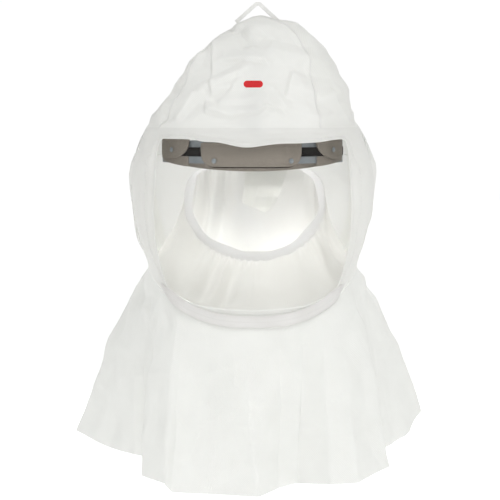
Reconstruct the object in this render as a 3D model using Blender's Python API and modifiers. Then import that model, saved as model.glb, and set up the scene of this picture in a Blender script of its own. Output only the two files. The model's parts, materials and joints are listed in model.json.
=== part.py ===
"""Loose-fitting powered-air respirator hood, hanging from its tape loop.

A white coated-fabric hood with a large clear visor, an inner neck seal, a flared cape, a head
suspension that adjusts for size and height, and a moulded air inlet with its duct at the back.
Metres, +Z up.  The origin is the top of the hanging loop.  The face looks along -Y.
"""
import math

import bmesh
import bpy
import numpy as np
from mathutils import Matrix, Vector

# ---- driving dimensions ---------------------------------------------------------------------
GAP = 0.0003                 # clearance between neighbouring pieces
FABRIC = 0.0012              # coated fabric with its seam allowance
HOOK_OFFSET = 0.0058         # the loop's top is this far to the right of the hood's middle

# Hood sections from the crown down: height, half width, front y, back y, centre x, roundness.
HOOD_SECTIONS = (
    (-0.0180, 0.009, -0.009, 0.011, 0.008, 2.0),
    (-0.0250, 0.034, -0.024, 0.045, 0.013, 2.0),
    (-0.0400, 0.055, -0.042, 0.078, 0.013, 2.1),
    (-0.0640, 0.075, -0.066, 0.100, 0.010, 2.2),
    (-0.0900, 0.088, -0.086, 0.115, 0.007, 2.3),
    (-0.1160, 0.103, -0.102, 0.126, 0.002, 2.4),
    (-0.1450, 0.119, -0.115, 0.133, 0.000, 2.5),
    (-0.1820, 0.130, -0.127, 0.137, 0.000, 2.6),
    (-0.2200, 0.129, -0.134, 0.137, 0.000, 2.6),
    (-0.2550, 0.121, -0.139, 0.132, 0.000, 2.6),
    (-0.2840, 0.112, -0.142, 0.125, 0.000, 2.6),
    (-0.3400, 0.112, -0.147, 0.115, 0.000, 2.6),
)
CROWN_TOP_Z = -0.0190        # where the crown panels end under the crown patch
BROW_SEAM_Z = -0.135
NECK_SEAM_Z = -0.284
CHIN_DROP = 0.052            # how much lower the neck seam runs under the visor
CROWN_FRONT_EDGE = 45.0      # azimuths of the seams, in degrees from the front
CROWN_SIDE_EDGE = 105.0
SURROUND_EDGE = 78.0
HOOD_SIDE_EDGE = 128.0
CAPE_FRONT_EDGE = 62.0
CAPE_SIDE_EDGE = 118.0

HEM_HALF_WIDTH = 0.192
HEM_FRONT_Y = -0.172
HEM_BACK_Y = 0.188
HEM_FRONT_Z = -0.505
HEM_BACK_Z = -0.483
HEM_ROUNDNESS = 2.7

# Visor window: right half from the top centre to the bottom centre, x and z.
WINDOW_OUTLINE = (
    (0.000, -0.1460), (0.086, -0.1460), (0.0965, -0.1530), (0.1000, -0.1850), (0.1015, -0.2250),
    (0.0990, -0.2600), (0.0900, -0.2930), (0.0720, -0.3110), (0.0400, -0.3185), (0.000, -0.3205),
)
VISOR_THICKNESS = 0.0008
VISOR_OVERLAP = 0.007        # how far the clear sheet runs under the fabric

NECK_CENTRE = Vector((0.0025, 0.0358, -0.2160))   # middle of the neck opening's widest line
NECK_HALF_WIDTH = 0.0685
NECK_FRONT_LENGTH = 0.082
NECK_BACK_LENGTH = 0.056
NECK_BACK_ROUNDNESS = 3.2    # the opening is squarer behind its widest line
NECK_TILT = math.radians(41)

BAND_HALF_WIDTH = 0.096      # headband, outer face
BAND_FRONT_DEPTH = 0.083
BAND_CENTRE_Y = -0.022
BAND_TOP_Z = -0.149
BAND_BOTTOM_Z = -0.172
BAND_THICKNESS = 0.0016
BAND_ARM_END = 0.066
EAR_HALF_WIDTH = 0.009
EAR_TOP_Z = -0.120
EAR_SLOT_BOTTOM_Z = -0.1470
EAR_SLOT_TOP_Z = -0.1255
EAR_Y = 0.000

NAPE_CENTRE_Y = 0.030
NAPE_DEPTH = 0.055
NAPE_ARM_START = 0.018
NAPE_THICKNESS = 0.0014
RATCHET_Z = -0.1605
PINION_RADIUS = 0.008
PINION_TEETH = 12

CROWN_STRAP_WIDTH = 0.018
CROWN_STRAP_THICKNESS = 0.0012
CROWN_STRAP_SPRING_Z = -0.136   # where the cross strap starts to curve over the head
CROWN_STRAP_RISE = 0.060

INLET_Z = -0.225
INLET_RADIUS = 0.0180
INLET_BORE = 0.0155
INLET_BEND = 0.024
INLET_BEND_Y = 0.150
INLET_END_Z = -0.280
PLENUM_FRONT_Y = 0.1165
PLENUM_BACK_Y = 0.1285
PLENUM_WALL = 0.0015

FLAP_LEFT_X = -0.0070        # the flap's upper corners on the neck opening
FLAP_RIGHT_X = 0.0410
FLAP_BOTTOM_Z = -0.226
FLAP_LEAN = 0.009            # how far its lower edge leans to the left


# ---- scene helpers --------------------------------------------------------------------------
for old in list(bpy.data.objects):
    bpy.data.objects.remove(old, do_unlink=True)

HOOD = bpy.data.collections.new("respirator_hood")
CUTTERS = bpy.data.collections.new("cutters")
for collection in (HOOD, CUTTERS):
    bpy.context.scene.collection.children.link(collection)


def material(name, colour, roughness, metallic=0.0, alpha=1.0):
    """A Principled material for one kind of stock."""
    found = bpy.data.materials.get(name)
    if found:
        return found
    made = bpy.data.materials.new(name)
    made.use_nodes = True
    shader = made.node_tree.nodes["Principled BSDF"]
    shader.inputs["Base Color"].default_value = (*colour, 1.0)
    shader.inputs["Roughness"].default_value = roughness
    shader.inputs["Metallic"].default_value = metallic
    shader.inputs["Alpha"].default_value = alpha
    made.diffuse_color = (*colour, alpha)
    return made


def white_fabric():
    return material("white_fabric", (0.82, 0.82, 0.80), 0.62)


def clear_sheet():
    return material("clear_sheet", (0.93, 0.95, 0.95), 0.08, alpha=0.25)


def grey_plastic():
    return material("grey_plastic", (0.26, 0.28, 0.30), 0.42)


def dark_plastic():
    return material("dark_plastic", (0.035, 0.037, 0.040), 0.45)


def taupe_pad():
    return material("taupe_pad", (0.25, 0.22, 0.20), 0.80)


def elastic_band():
    return material("elastic_band", (0.74, 0.73, 0.76), 0.75)


def black_webbing():
    return material("black_webbing", (0.035, 0.031, 0.028), 0.70)


def rubber_seal():
    return material("rubber_seal", (0.020, 0.020, 0.022), 0.60)


def link(name, mesh, stock, collection=HOOD):
    """Put a mesh in the scene as a named piece."""
    piece = bpy.data.objects.new(name, mesh)
    collection.objects.link(piece)
    if stock:
        mesh.materials.append(stock)
    return piece


def from_bmesh(name, bm, stock, collection=HOOD):
    """Close a bmesh into a named piece."""
    mesh = bpy.data.meshes.new(name)
    bm.normal_update()
    bm.to_mesh(mesh)
    bm.free()
    return link(name, mesh, stock, collection)


def sheet(name, rows, thickness, stock, wrap=False, offset=-1.0):
    """An open surface through rows of points, given its thickness by Solidify."""
    bm = bmesh.new()
    grid = [[bm.verts.new(point) for point in row] for row in rows]
    columns = len(rows[0])
    for upper, lower in zip(grid, grid[1:]):
        for i in range(columns if wrap else columns - 1):
            j = (i + 1) % columns
            bm.faces.new((upper[i], lower[i], lower[j], upper[j]))
    piece = from_bmesh(name, bm, stock)
    piece.data.shade_smooth()
    solid = piece.modifiers.new("thickness", "SOLIDIFY")
    solid.thickness = thickness
    solid.offset = offset
    return piece


def box(name, low, high, stock, bevel=0.0, collection=HOOD):
    """A block between two corners, with rounded edges if bevel is given."""
    low, high = Vector(low), Vector(high)
    bm = bmesh.new()
    bmesh.ops.create_cube(bm, size=1.0)
    bmesh.ops.scale(bm, vec=high - low, verts=bm.verts)
    bmesh.ops.translate(bm, vec=(low + high) / 2, verts=bm.verts)
    piece = from_bmesh(name, bm, stock, collection)
    if bevel:
        rounded = piece.modifiers.new("edges", "BEVEL")
        rounded.width = bevel
        rounded.segments = 2
    return piece


def turned(name, profile, centre, axis, stock, sides=28, collection=HOOD):
    """A turned ring or disc: profile points are (radius, height) down the outer side."""
    bm = bmesh.new()
    points = [bm.verts.new((radius, 0.0, height)) for radius, height in profile]
    closed = profile[0][0] > 0.0
    for first, second in zip(points, points[1:] + points[:1] if closed else points[1:]):
        bm.edges.new((first, second))
    piece = from_bmesh(name, bm, stock, collection)
    spin = piece.modifiers.new("turn", "SCREW")
    spin.steps = sides
    spin.render_steps = sides
    spin.use_merge_vertices = True
    spin.merge_threshold = 0.00005
    piece.location = centre
    piece.rotation_euler = Vector(axis).to_track_quat("Z", "Y").to_euler()
    piece.data.shade_smooth()
    return piece


def mesh_of(piece, name, stock, collection=HOOD):
    """Replace an object by the mesh it evaluates to, with welded caps."""
    evaluated = piece.evaluated_get(bpy.context.evaluated_depsgraph_get())
    mesh = bpy.data.meshes.new_from_object(evaluated)
    bm = bmesh.new()
    bm.from_mesh(mesh)
    bmesh.ops.remove_doubles(bm, verts=bm.verts, dist=0.00002)
    bm.to_mesh(mesh)
    bm.free()
    mesh.materials.clear()
    placed = piece.matrix_world.copy()
    bpy.data.objects.remove(piece, do_unlink=True)
    made = link(name, mesh, stock, collection)
    made.matrix_world = placed
    return made


def tube(name, points, radius, stock, sides=3, collection=HOOD):
    """A round bar with filled ends along a list of points."""
    curve = bpy.data.curves.new(name, "CURVE")
    curve.dimensions = "3D"
    curve.bevel_depth = radius
    curve.bevel_resolution = sides
    curve.use_fill_caps = True
    spline = curve.splines.new("POLY")
    spline.points.add(len(points) - 1)
    for knot, point in zip(spline.points, points):
        knot.co = (*point, 1.0)
    piece = bpy.data.objects.new(name + "_path", curve)
    collection.objects.link(piece)
    bpy.context.view_layer.update()
    return mesh_of(piece, name, stock, collection)


def combine(piece, cutter, operation):
    """Join or cut a piece with a hidden cutter."""
    cutter.hide_render = True
    cutter.display_type = "WIRE"
    change = piece.modifiers.new(operation.lower(), "BOOLEAN")
    change.operation = operation
    change.solver = "EXACT"
    change.object = cutter


def spread(start, end, count):
    return [float(value) for value in np.linspace(start, end, count)]


# ---- the hood's master surface --------------------------------------------------------------
def section(height):
    """Hood section at a height, smooth through the listed sections."""
    rows = HOOD_SECTIONS
    height = min(max(height, rows[-1][0]), rows[0][0])
    last = len(rows) - 1
    k = next(i for i in range(last) if height >= rows[i + 1][0] or i == last - 1)
    before, start = rows[max(k - 1, 0)], rows[k]
    end, after = rows[k + 1], rows[min(k + 2, last)]
    t = (height - start[0]) / (end[0] - start[0])
    values = []
    for a, b, c, d in zip(before[1:], start[1:], end[1:], after[1:]):
        step_in, step_out = (c - a) / 2, (d - b) / 2
        values.append((2 * t**3 - 3 * t**2 + 1) * b + (t**3 - 2 * t**2 + t) * step_in
                      + (3 * t**2 - 2 * t**3) * c + (t**3 - t**2) * step_out)
    return values


def oval(azimuth, half_width, front, back, centre_x, roundness, inset=0.0):
    """A point of a rounded section; azimuth in degrees, 0 at the front, + towards +X."""
    angle = math.radians(azimuth)
    s, c = math.sin(angle), math.cos(angle)
    power = 2.0 / roundness
    depth = (-front if c > 0 else back) - inset
    x = centre_x + (half_width - inset) * math.copysign(abs(s) ** power, s)
    return x, -depth * math.copysign(abs(c) ** power, c)


def hood_point(azimuth, height, inset=0.0):
    x, y = oval(azimuth, *section(height), inset=inset)
    return Vector((x, y, height))


def neck_seam(azimuth):
    """Height of the seam between hood and cape; it dips under the visor."""
    forward = max(0.0, math.cos(math.radians(azimuth)))
    return NECK_SEAM_Z - CHIN_DROP * forward**2


def hem(azimuth):
    back = (1 - math.cos(math.radians(azimuth))) / 2
    return HEM_FRONT_Z + (HEM_BACK_Z - HEM_FRONT_Z) * back


def cape_point(azimuth, t, inset=0.0):
    """A point of the cape, from the neck seam (t 0) to the hem (t 1)."""
    top = hood_point(azimuth, neck_seam(azimuth), inset)
    x, y = oval(azimuth, HEM_HALF_WIDTH, HEM_FRONT_Y, HEM_BACK_Y, 0.0, HEM_ROUNDNESS, inset)
    swing = t**0.85
    return Vector((top.x + (x - top.x) * swing, top.y + (y - top.y) * swing,
                   top.z + (hem(azimuth) - top.z) * t))


def seam_gap(height):
    """Half the clearance between two panels, in degrees of azimuth."""
    return math.degrees(GAP / max(section(height)[0], 0.02))


def hood_panel(name, start, end, top, bottom, columns, rows):
    """A fabric panel of the hood between two azimuths and two heights."""
    lines = []
    for share in spread(0, 1, rows):
        line = []
        for across in spread(0, 1, columns):
            rough = start + (end - start) * across
            height = top + (bottom(rough) - top) * share
            edge = seam_gap(height)
            azimuth = start + edge + (end - start - 2 * edge) * across
            line.append(hood_point(azimuth, height))
        lines.append(line)
    return sheet(name, lines, FABRIC, white_fabric())


def outline(scale_out=0.0):
    """The visor window as a closed loop of (x, z), moved outwards by scale_out."""
    middle = Vector((0.0, -0.233))
    right = [Vector(point) for point in WINDOW_OUTLINE]
    smooth = []
    for k in range(len(right) - 1):
        a, b = right[max(k - 1, 0)], right[k]
        c, d = right[k + 1], right[min(k + 2, len(right) - 1)]
        for t in (0.0, 0.5):
            smooth.append(0.5 * (2 * b + (c - a) * t + (2 * a - 5 * b + 4 * c - d) * t**2
                                 + (3 * b - a - 3 * c + d) * t**3))
    smooth.append(right[-1])
    loop = smooth + [Vector((-p.x, p.y)) for p in reversed(smooth[1:-1])]
    return [p + (p - middle).normalized() * scale_out for p in loop]


def window_prism(name, scale_out):
    """A prism along Y through the visor window."""
    curve = bpy.data.curves.new(name, "CURVE")
    curve.dimensions = "2D"
    curve.fill_mode = "BOTH"
    curve.extrude = 0.060
    spline = curve.splines.new("POLY")
    points = outline(scale_out)
    spline.points.add(len(points) - 1)
    for knot, point in zip(spline.points, points):
        knot.co = (point.x, point.y, 0.0, 1.0)
    spline.use_cyclic_u = True
    piece = bpy.data.objects.new(name + "_outline", curve)
    CUTTERS.objects.link(piece)
    piece.rotation_euler = (math.pi / 2, 0.0, 0.0)
    piece.location = (0.0, -0.100, 0.0)
    bpy.context.view_layer.update()
    return mesh_of(piece, name, None, CUTTERS)


# ---- fabric hood ----------------------------------------------------------------------------
def build_crown():
    """Crown panels from the patch under the loop down to the brow seam."""
    def brow(_azimuth):
        return BROW_SEAM_Z + GAP

    edges = {"crown_front_panel": (-CROWN_FRONT_EDGE, CROWN_FRONT_EDGE, 9),
             "crown_right_panel": (CROWN_FRONT_EDGE, CROWN_SIDE_EDGE, 9),
             "crown_left_panel": (-CROWN_SIDE_EDGE, -CROWN_FRONT_EDGE, 9),
             "crown_back_panel": (CROWN_SIDE_EDGE, 360 - CROWN_SIDE_EDGE, 13)}
    for name, (start, end, columns) in edges.items():
        hood_panel(name, start, end, CROWN_TOP_Z - 0.0015, brow, columns, 9)
    rows = []
    for share in (0.08, 0.45, 0.75, 1.0):
        height = CROWN_TOP_Z - 0.0008 * share
        ring = [hood_point(azimuth, CROWN_TOP_Z - 0.0014) for azimuth in spread(0, 345, 24)]
        centre = sum(ring, Vector()) / len(ring)
        rows.append([Vector((centre.x + (p.x - centre.x) * share * 0.93,
                             centre.y + (p.y - centre.y) * share * 0.93, height)) for p in ring])
    patch = sheet("crown_patch", rows, FABRIC, white_fabric(), wrap=True)
    fill = bmesh.new()
    fill.from_mesh(patch.data)
    bmesh.ops.holes_fill(fill, edges=[e for e in fill.edges if e.is_boundary
                                      and all((v.co - rows[0][0]).length < 0.006 for v in e.verts)])
    fill.to_mesh(patch.data)
    fill.free()


def build_hood_body():
    """Visor surround, side panels and back panel between the brow seam and the neck seam."""
    def seam(azimuth):
        return neck_seam(azimuth) + GAP

    top = BROW_SEAM_Z - GAP
    surround = hood_panel("visor_surround", -SURROUND_EDGE, SURROUND_EDGE, top, seam, 21, 11)
    combine(surround, window_prism("window_cut", 0.0), "DIFFERENCE")
    hood_panel("hood_right_panel", SURROUND_EDGE, HOOD_SIDE_EDGE, top, seam, 7, 9)
    hood_panel("hood_left_panel", -HOOD_SIDE_EDGE, -SURROUND_EDGE, top, seam, 7, 9)
    back = hood_panel("hood_back_panel", HOOD_SIDE_EDGE, 360 - HOOD_SIDE_EDGE, top, seam, 13, 9)
    hole = turned("inlet_hole", disc_profile(INLET_RADIUS + 0.001, 0.040),
                  (0.0, 0.120, INLET_Z), (0, 1, 0), None, collection=CUTTERS)
    combine(back, hole, "DIFFERENCE")


def build_visor():
    """The clear sheet behind the window, cut a little larger than the opening."""
    inset = FABRIC + 4 * GAP       # clear of the surround between their facets
    lines = []
    for height in spread(-0.136, -0.334, 11):
        lines.append([hood_point(azimuth, height, inset) for azimuth in spread(-74, 74, 17)])
    visor = sheet("visor", lines, VISOR_THICKNESS, clear_sheet())
    combine(visor, window_prism("visor_trim", VISOR_OVERLAP), "INTERSECT")


def build_chin_lip():
    """The rolled fabric lip that closes the hood under the visor."""
    points = []
    for azimuth in spread(-52, 52, 17):
        foot = hood_point(azimuth, neck_seam(azimuth) + 0.0045, inset=-0.0042)
        points.append(foot)
    tube("chin_lip", points, 0.0036, white_fabric(), sides=2)


def build_cape():
    """The flared cape, sewn to the hood at the neck seam."""
    panels = {"cape_front": (-CAPE_FRONT_EDGE, CAPE_FRONT_EDGE, 17),
              "cape_right_side": (CAPE_FRONT_EDGE, CAPE_SIDE_EDGE, 9),
              "cape_left_side": (-CAPE_SIDE_EDGE, -CAPE_FRONT_EDGE, 9),
              "cape_back": (CAPE_SIDE_EDGE, 360 - CAPE_SIDE_EDGE, 15)}
    start_share = GAP / (NECK_SEAM_Z - HEM_FRONT_Z) * 3
    for name, (start, end, columns) in panels.items():
        edge = seam_gap(NECK_SEAM_Z)
        lines = []
        for share in spread(start_share, 1.0, 7):
            lines.append([cape_point(azimuth, share)
                          for azimuth in spread(start + edge, end - edge, columns)])
        sheet(name, lines, FABRIC, white_fabric())


def neck_ring(azimuth, grow=0.0, lift=0.0):
    """A point of the neck opening, a tilted egg shape that is lowest at the front."""
    s, c = math.sin(math.radians(azimuth)), math.cos(math.radians(azimuth))
    power = 1.0 if c > 0 else 2 / NECK_BACK_ROUNDNESS
    length = NECK_FRONT_LENGTH if c > 0 else NECK_BACK_LENGTH
    across = (NECK_HALF_WIDTH + grow) * math.copysign(abs(s) ** power, s)
    along = -(length + grow) * math.copysign(abs(c) ** power, c)
    tilt = Matrix.Rotation(NECK_TILT, 3, "X")
    return NECK_CENTRE + tilt @ Vector((across, along, lift))


def back_azimuth(x):
    """Azimuth of the point of the opening's back edge with that x."""
    share = (x - NECK_CENTRE.x) / NECK_HALF_WIDTH
    return 180 - math.degrees(math.asin(math.copysign(abs(share) ** (NECK_BACK_ROUNDNESS / 2),
                                                      share)))


def seal_root(azimuth):
    """Where the neck seal is sewn to the inside of the hood."""
    forward = math.cos(math.radians(azimuth))
    height = -0.282 - 0.040 * max(0.0, forward)**2 + 0.004 * max(0.0, -forward)
    return hood_point(azimuth, height, inset=0.0045)


def build_neck_seal():
    """A fabric funnel from the hood wall up to the neck opening, with its elastic band."""
    azimuths = spread(0, 348.75, 32)
    lines = []
    for share in spread(0, 1, 4):
        line = []
        for azimuth in azimuths:
            inner = neck_ring(azimuth, grow=0.0104, lift=-0.0050)
            outer = seal_root(azimuth)
            line.append(inner + (outer - inner) * share)
        lines.append(line)
    sheet("neck_seal", lines, FABRIC, white_fabric(), wrap=True)
    band = [[neck_ring(azimuth, grow=grow, lift=lift) for azimuth in azimuths]
            for grow, lift in ((0.0, 0.0015), (0.0090, -0.0035))]
    sheet("neck_seal_band", band, 0.0018, elastic_band(), wrap=True)


def build_inlet_flap():
    """The fabric flap that hangs over the air inlet from the back of the neck opening."""
    top = [neck_ring(back_azimuth(x), grow=-0.0026, lift=0.0015)
           for x in spread(FLAP_LEFT_X, FLAP_RIGHT_X, 7)]
    rows = []
    for share in spread(0, 1, 4):
        rows.append([Vector((point.x - FLAP_LEAN * share, point.y,
                             point.z + (FLAP_BOTTOM_Z - point.z) * share)) for point in top])
    sheet("inlet_flap", rows, FABRIC, white_fabric(), offset=1.0)


def build_hang_loop():
    """The tape loop that the hood hangs from."""
    half_width = 0.0030
    top = Vector((HOOK_OFFSET, -half_width))
    left_foot, right_foot = Vector((-0.0135, -0.0178)), Vector((0.0250, -0.0172))
    path = [left_foot, left_foot.lerp(top, 0.4), left_foot.lerp(top, 0.8),
            top, right_foot.lerp(top, 0.8), right_foot.lerp(top, 0.4), right_foot]
    left, right = [], []
    for k, point in enumerate(path):
        along = (path[min(k + 1, len(path) - 1)] - path[max(k - 1, 0)]).normalized()
        side = Vector((-along.y, along.x)) * half_width
        left.append(Vector((point.x + side.x, 0.0, point.y + side.y)))
        right.append(Vector((point.x - side.x, 0.0, point.y - side.y)))
    sheet("hang_loop", [left, right], 0.0012, white_fabric(), offset=0.0)


# ---- head suspension ------------------------------------------------------------------------
def band_point(turn, out=0.0):
    """A point of the headband: turn 0 is the left side, 90 the front, 180 the right side.

    Below 0 and above 180 it runs back along the straight arms, a millimetre for each degree.
    """
    width = BAND_HALF_WIDTH + out
    if turn < 0 or turn > 180:
        back = -turn if turn < 0 else turn - 180
        return Vector((math.copysign(width, turn), BAND_CENTRE_Y + back * 0.001))
    angle = math.radians(turn)
    return Vector((-width * math.cos(angle),
                   BAND_CENTRE_Y - (BAND_FRONT_DEPTH + out) * math.sin(angle)))


def band_strip(name, turns, out, thickness, top, bottom, stock, rows=2):
    """A strip that follows the headband; out is its outer face's distance from the band's."""
    lines = []
    for share in spread(0, 1, rows):
        line = []
        for turn in turns:
            flat = band_point(turn, out)
            line.append(Vector((flat.x, flat.y, top(turn) + (bottom(turn) - top(turn)) * share)))
        lines.append(line)
    return sheet(name, lines, thickness, stock)


def ease(value):
    value = min(max(value, 0.0), 1.0)
    return value * value * (3 - 2 * value)


def ear_turn(y):
    """Turn of the point at a given y on the left arm."""
    return -(y - BAND_CENTRE_Y) * 1000.0


def rivet(name, centre, outward):
    """A domed rivet head on a short shank."""
    profile = [(0.0, 0.0016), (0.0012, 0.0014), (0.0022, 0.0009), (0.0027, 0.0003),
               (0.0027, 0.0), (0.0010, 0.0), (0.0010, -0.0010), (0.0, -0.0010)]
    return turned(name, profile, centre, outward, grey_plastic(), sides=12)


def disc_profile(radius, height):
    """A plain disc profile, centred on its middle."""
    return [(0.0, height / 2), (radius, height / 2), (radius, -height / 2), (0.0, -height / 2)]


def build_headband():
    """The plastic headband with its ears, its size strap, pads and liner."""
    left, right = ear_turn(BAND_ARM_END), 180 - ear_turn(BAND_ARM_END)
    ear = ear_turn(EAR_Y)
    ear_width = EAR_HALF_WIDTH * 1000

    def near_ear(turn):
        mirrored = turn if turn < 90 else 180 - turn
        return 1 - ease((abs(mirrored - ear) - ear_width) / 3.0)

    def top(turn):
        return BAND_TOP_Z + (EAR_TOP_Z - BAND_TOP_Z) * near_ear(turn)

    steps = [ear - ear_width - 3, ear - ear_width - 1.5, ear - ear_width, ear,
             ear + ear_width, ear + ear_width + 1.5, ear + ear_width + 3]
    turns = [left, ear - 2.4 * ear_width] + steps + spread(4, 176, 27)
    turns += [180 - turn for turn in reversed(steps)] + [180 - ear + 2.4 * ear_width, right]
    band = band_strip("headband", turns, 0.0, BAND_THICKNESS, top,
                      lambda turn: BAND_BOTTOM_Z, grey_plastic())
    for side in (-1, 1):
        middle = Vector((side * (BAND_HALF_WIDTH - 0.001), EAR_Y, 0.0))
        slot = box(f"ear_slot_{'left' if side < 0 else 'right'}",
                   (middle.x - 0.004, middle.y - 0.0022, EAR_SLOT_BOTTOM_Z),
                   (middle.x + 0.004, middle.y + 0.0022, EAR_SLOT_TOP_Z), None,
                   collection=CUTTERS)
        combine(band, slot, "DIFFERENCE")

    strap_out = GAP + 0.0010
    band_strip("size_strap", spread(8, 172, 33), strap_out, 0.0010,
               lambda turn: -0.1550, lambda turn: -0.1650, black_webbing())

    pad_out = strap_out + GAP + 0.0030

    def brow_top(turn):
        corner = ease(abs(turn - 90) / 22.0)
        return -0.1545 + 0.0040 * corner

    band_strip("brow_pad", spread(58, 122, 21), pad_out, 0.0030,
               brow_top, lambda turn: -0.1760 + 0.0030 * ease(abs(turn - 90) / 32.0 - 0.2),
               taupe_pad(), rows=3)
    band_strip("temple_pad_left", spread(21.5, 49, 9), pad_out, 0.0030,
               lambda turn: -0.1475, lambda turn: -0.1640 - 0.0010 * ease((turn - 21) / 28),
               taupe_pad(), rows=3)
    band_strip("temple_pad_right", spread(131, 158.5, 9), pad_out, 0.0030,
               lambda turn: -0.1475, lambda turn: -0.1640 - 0.0010 * ease((159 - turn) / 28),
               taupe_pad(), rows=3)
    liner_out = -BAND_THICKNESS - CROWN_STRAP_THICKNESS - 4 * GAP
    band_strip("sweatband_liner", spread(14, 166, 31), liner_out, 0.0040,
               lambda turn: -0.1505,
               lambda turn: -0.1660 - 0.0135 * math.sin(math.radians(turn)), taupe_pad(), rows=3)

    for name, turn, height in (("brow_rivet_left", 67.0, -0.1690),
                               ("brow_rivet_right", 113.0, -0.1690),
                               ("temple_rivet_left", 34.0, -0.1580),
                               ("temple_rivet_right", 146.0, -0.1580)):
        inner, outer = band_point(turn, pad_out), band_point(turn, pad_out + 0.01)
        outward = Vector((*(outer - inner).normalized(), 0.0))
        profile_lift = 0.0010 + GAP
        rivet(name, Vector((*inner, height)) + outward * profile_lift, outward)


def build_nape():
    """The sliding rear band with its pad and size ratchet."""
    face = BAND_HALF_WIDTH - BAND_THICKNESS - GAP

    def nape_point(turn, out=0.0):
        angle = math.radians(turn)
        width, depth = face + out, NAPE_DEPTH + out
        s, c = math.sin(angle), math.cos(angle)
        power = 2 / 2.3
        return Vector((width * math.copysign(abs(c) ** power, c),
                       NAPE_CENTRE_Y + depth * abs(s) ** power))

    def strip(name, turns, out, thickness, top, bottom, stock, arms=True):
        flat = [nape_point(turn, out) for turn in turns]
        if arms:
            start = Vector((face + out, NAPE_ARM_START))
            end = Vector((-face - out, NAPE_ARM_START))
            flat = [start] + flat + [end]
        lines = [[Vector((p.x, p.y, height)) for p in flat] for height in (top, bottom)]
        return sheet(name, lines, thickness, stock)

    strip("nape_band", spread(0, 180, 29), 0.0, NAPE_THICKNESS, -0.1510, -0.1700,
          grey_plastic())
    strip("nape_pad", spread(52, 128, 17), -NAPE_THICKNESS - GAP, 0.0050, -0.1480, -0.1730,
          taupe_pad(), arms=False)

    back = NAPE_CENTRE_Y + NAPE_DEPTH
    low = back + GAP + 0.0004
    housing = box("ratchet_housing", (-0.028, low, RATCHET_Z - 0.0125),
                  (0.028, low + 0.0110, RATCHET_Z + 0.0125), dark_plastic(), bevel=0.0030)
    well = turned("ratchet_well", disc_profile(PINION_RADIUS + 0.0030, 0.0180),
                  (0.0, low + 0.0115, RATCHET_Z), (0, 1, 0), None, sides=24, collection=CUTTERS)
    combine(housing, well, "DIFFERENCE")

    pinion = bmesh.new()
    outline_points = []
    for k in range(PINION_TEETH * 4):
        radius = PINION_RADIUS + (0.0010 if k % 4 in (1, 2) else -0.0010)
        angle = 2 * math.pi * k / (PINION_TEETH * 4)
        outline_points.append(pinion.verts.new((radius * math.cos(angle), 0.0,
                                                radius * math.sin(angle))))
    face_made = pinion.faces.new(outline_points)
    grown = bmesh.ops.extrude_face_region(pinion, geom=[face_made])
    tips = [item for item in grown["geom"] if isinstance(item, bmesh.types.BMVert)]
    bmesh.ops.translate(pinion, vec=(0.0, 0.0045, 0.0), verts=tips)
    bmesh.ops.recalc_face_normals(pinion, faces=pinion.faces)
    gear = from_bmesh("ratchet_pinion", pinion, dark_plastic())
    gear.location = (0.0, low + 0.0040, RATCHET_Z)

    face_y = low + 0.0110 + GAP
    knob = turned("ratchet_knob", [(0.0, 0.0080), (0.0140, 0.0080), (0.0152, 0.0066),
                                   (0.0155, 0.0), (0.0, 0.0)],
                  (0.0, face_y, RATCHET_Z), (0, 1, 0), grey_plastic(), sides=36)
    for k in range(12):
        angle = 2 * math.pi * k / 12
        groove = turned(f"knob_groove_{k:02d}", disc_profile(0.0022, 0.0200),
                        (0.0168 * math.cos(angle), face_y + 0.0070,
                         RATCHET_Z + 0.0168 * math.sin(angle)),
                        (0, 1, 0), None, sides=8, collection=CUTTERS)
        combine(knob, groove, "DIFFERENCE")


def strap_over(name, arc, drop_from, drop_to, centre_line, width, stock):
    """A strap bent over the head: straight tabs at the listed ends, an arc between them."""
    path = [Vector(point) for point in drop_from] + arc + [Vector(point) for point in drop_to]
    half = Vector(centre_line) * (width / 2)
    rows = [[point - half for point in path], [point + half for point in path]]
    return sheet(name, rows, CROWN_STRAP_THICKNESS, stock)


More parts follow.
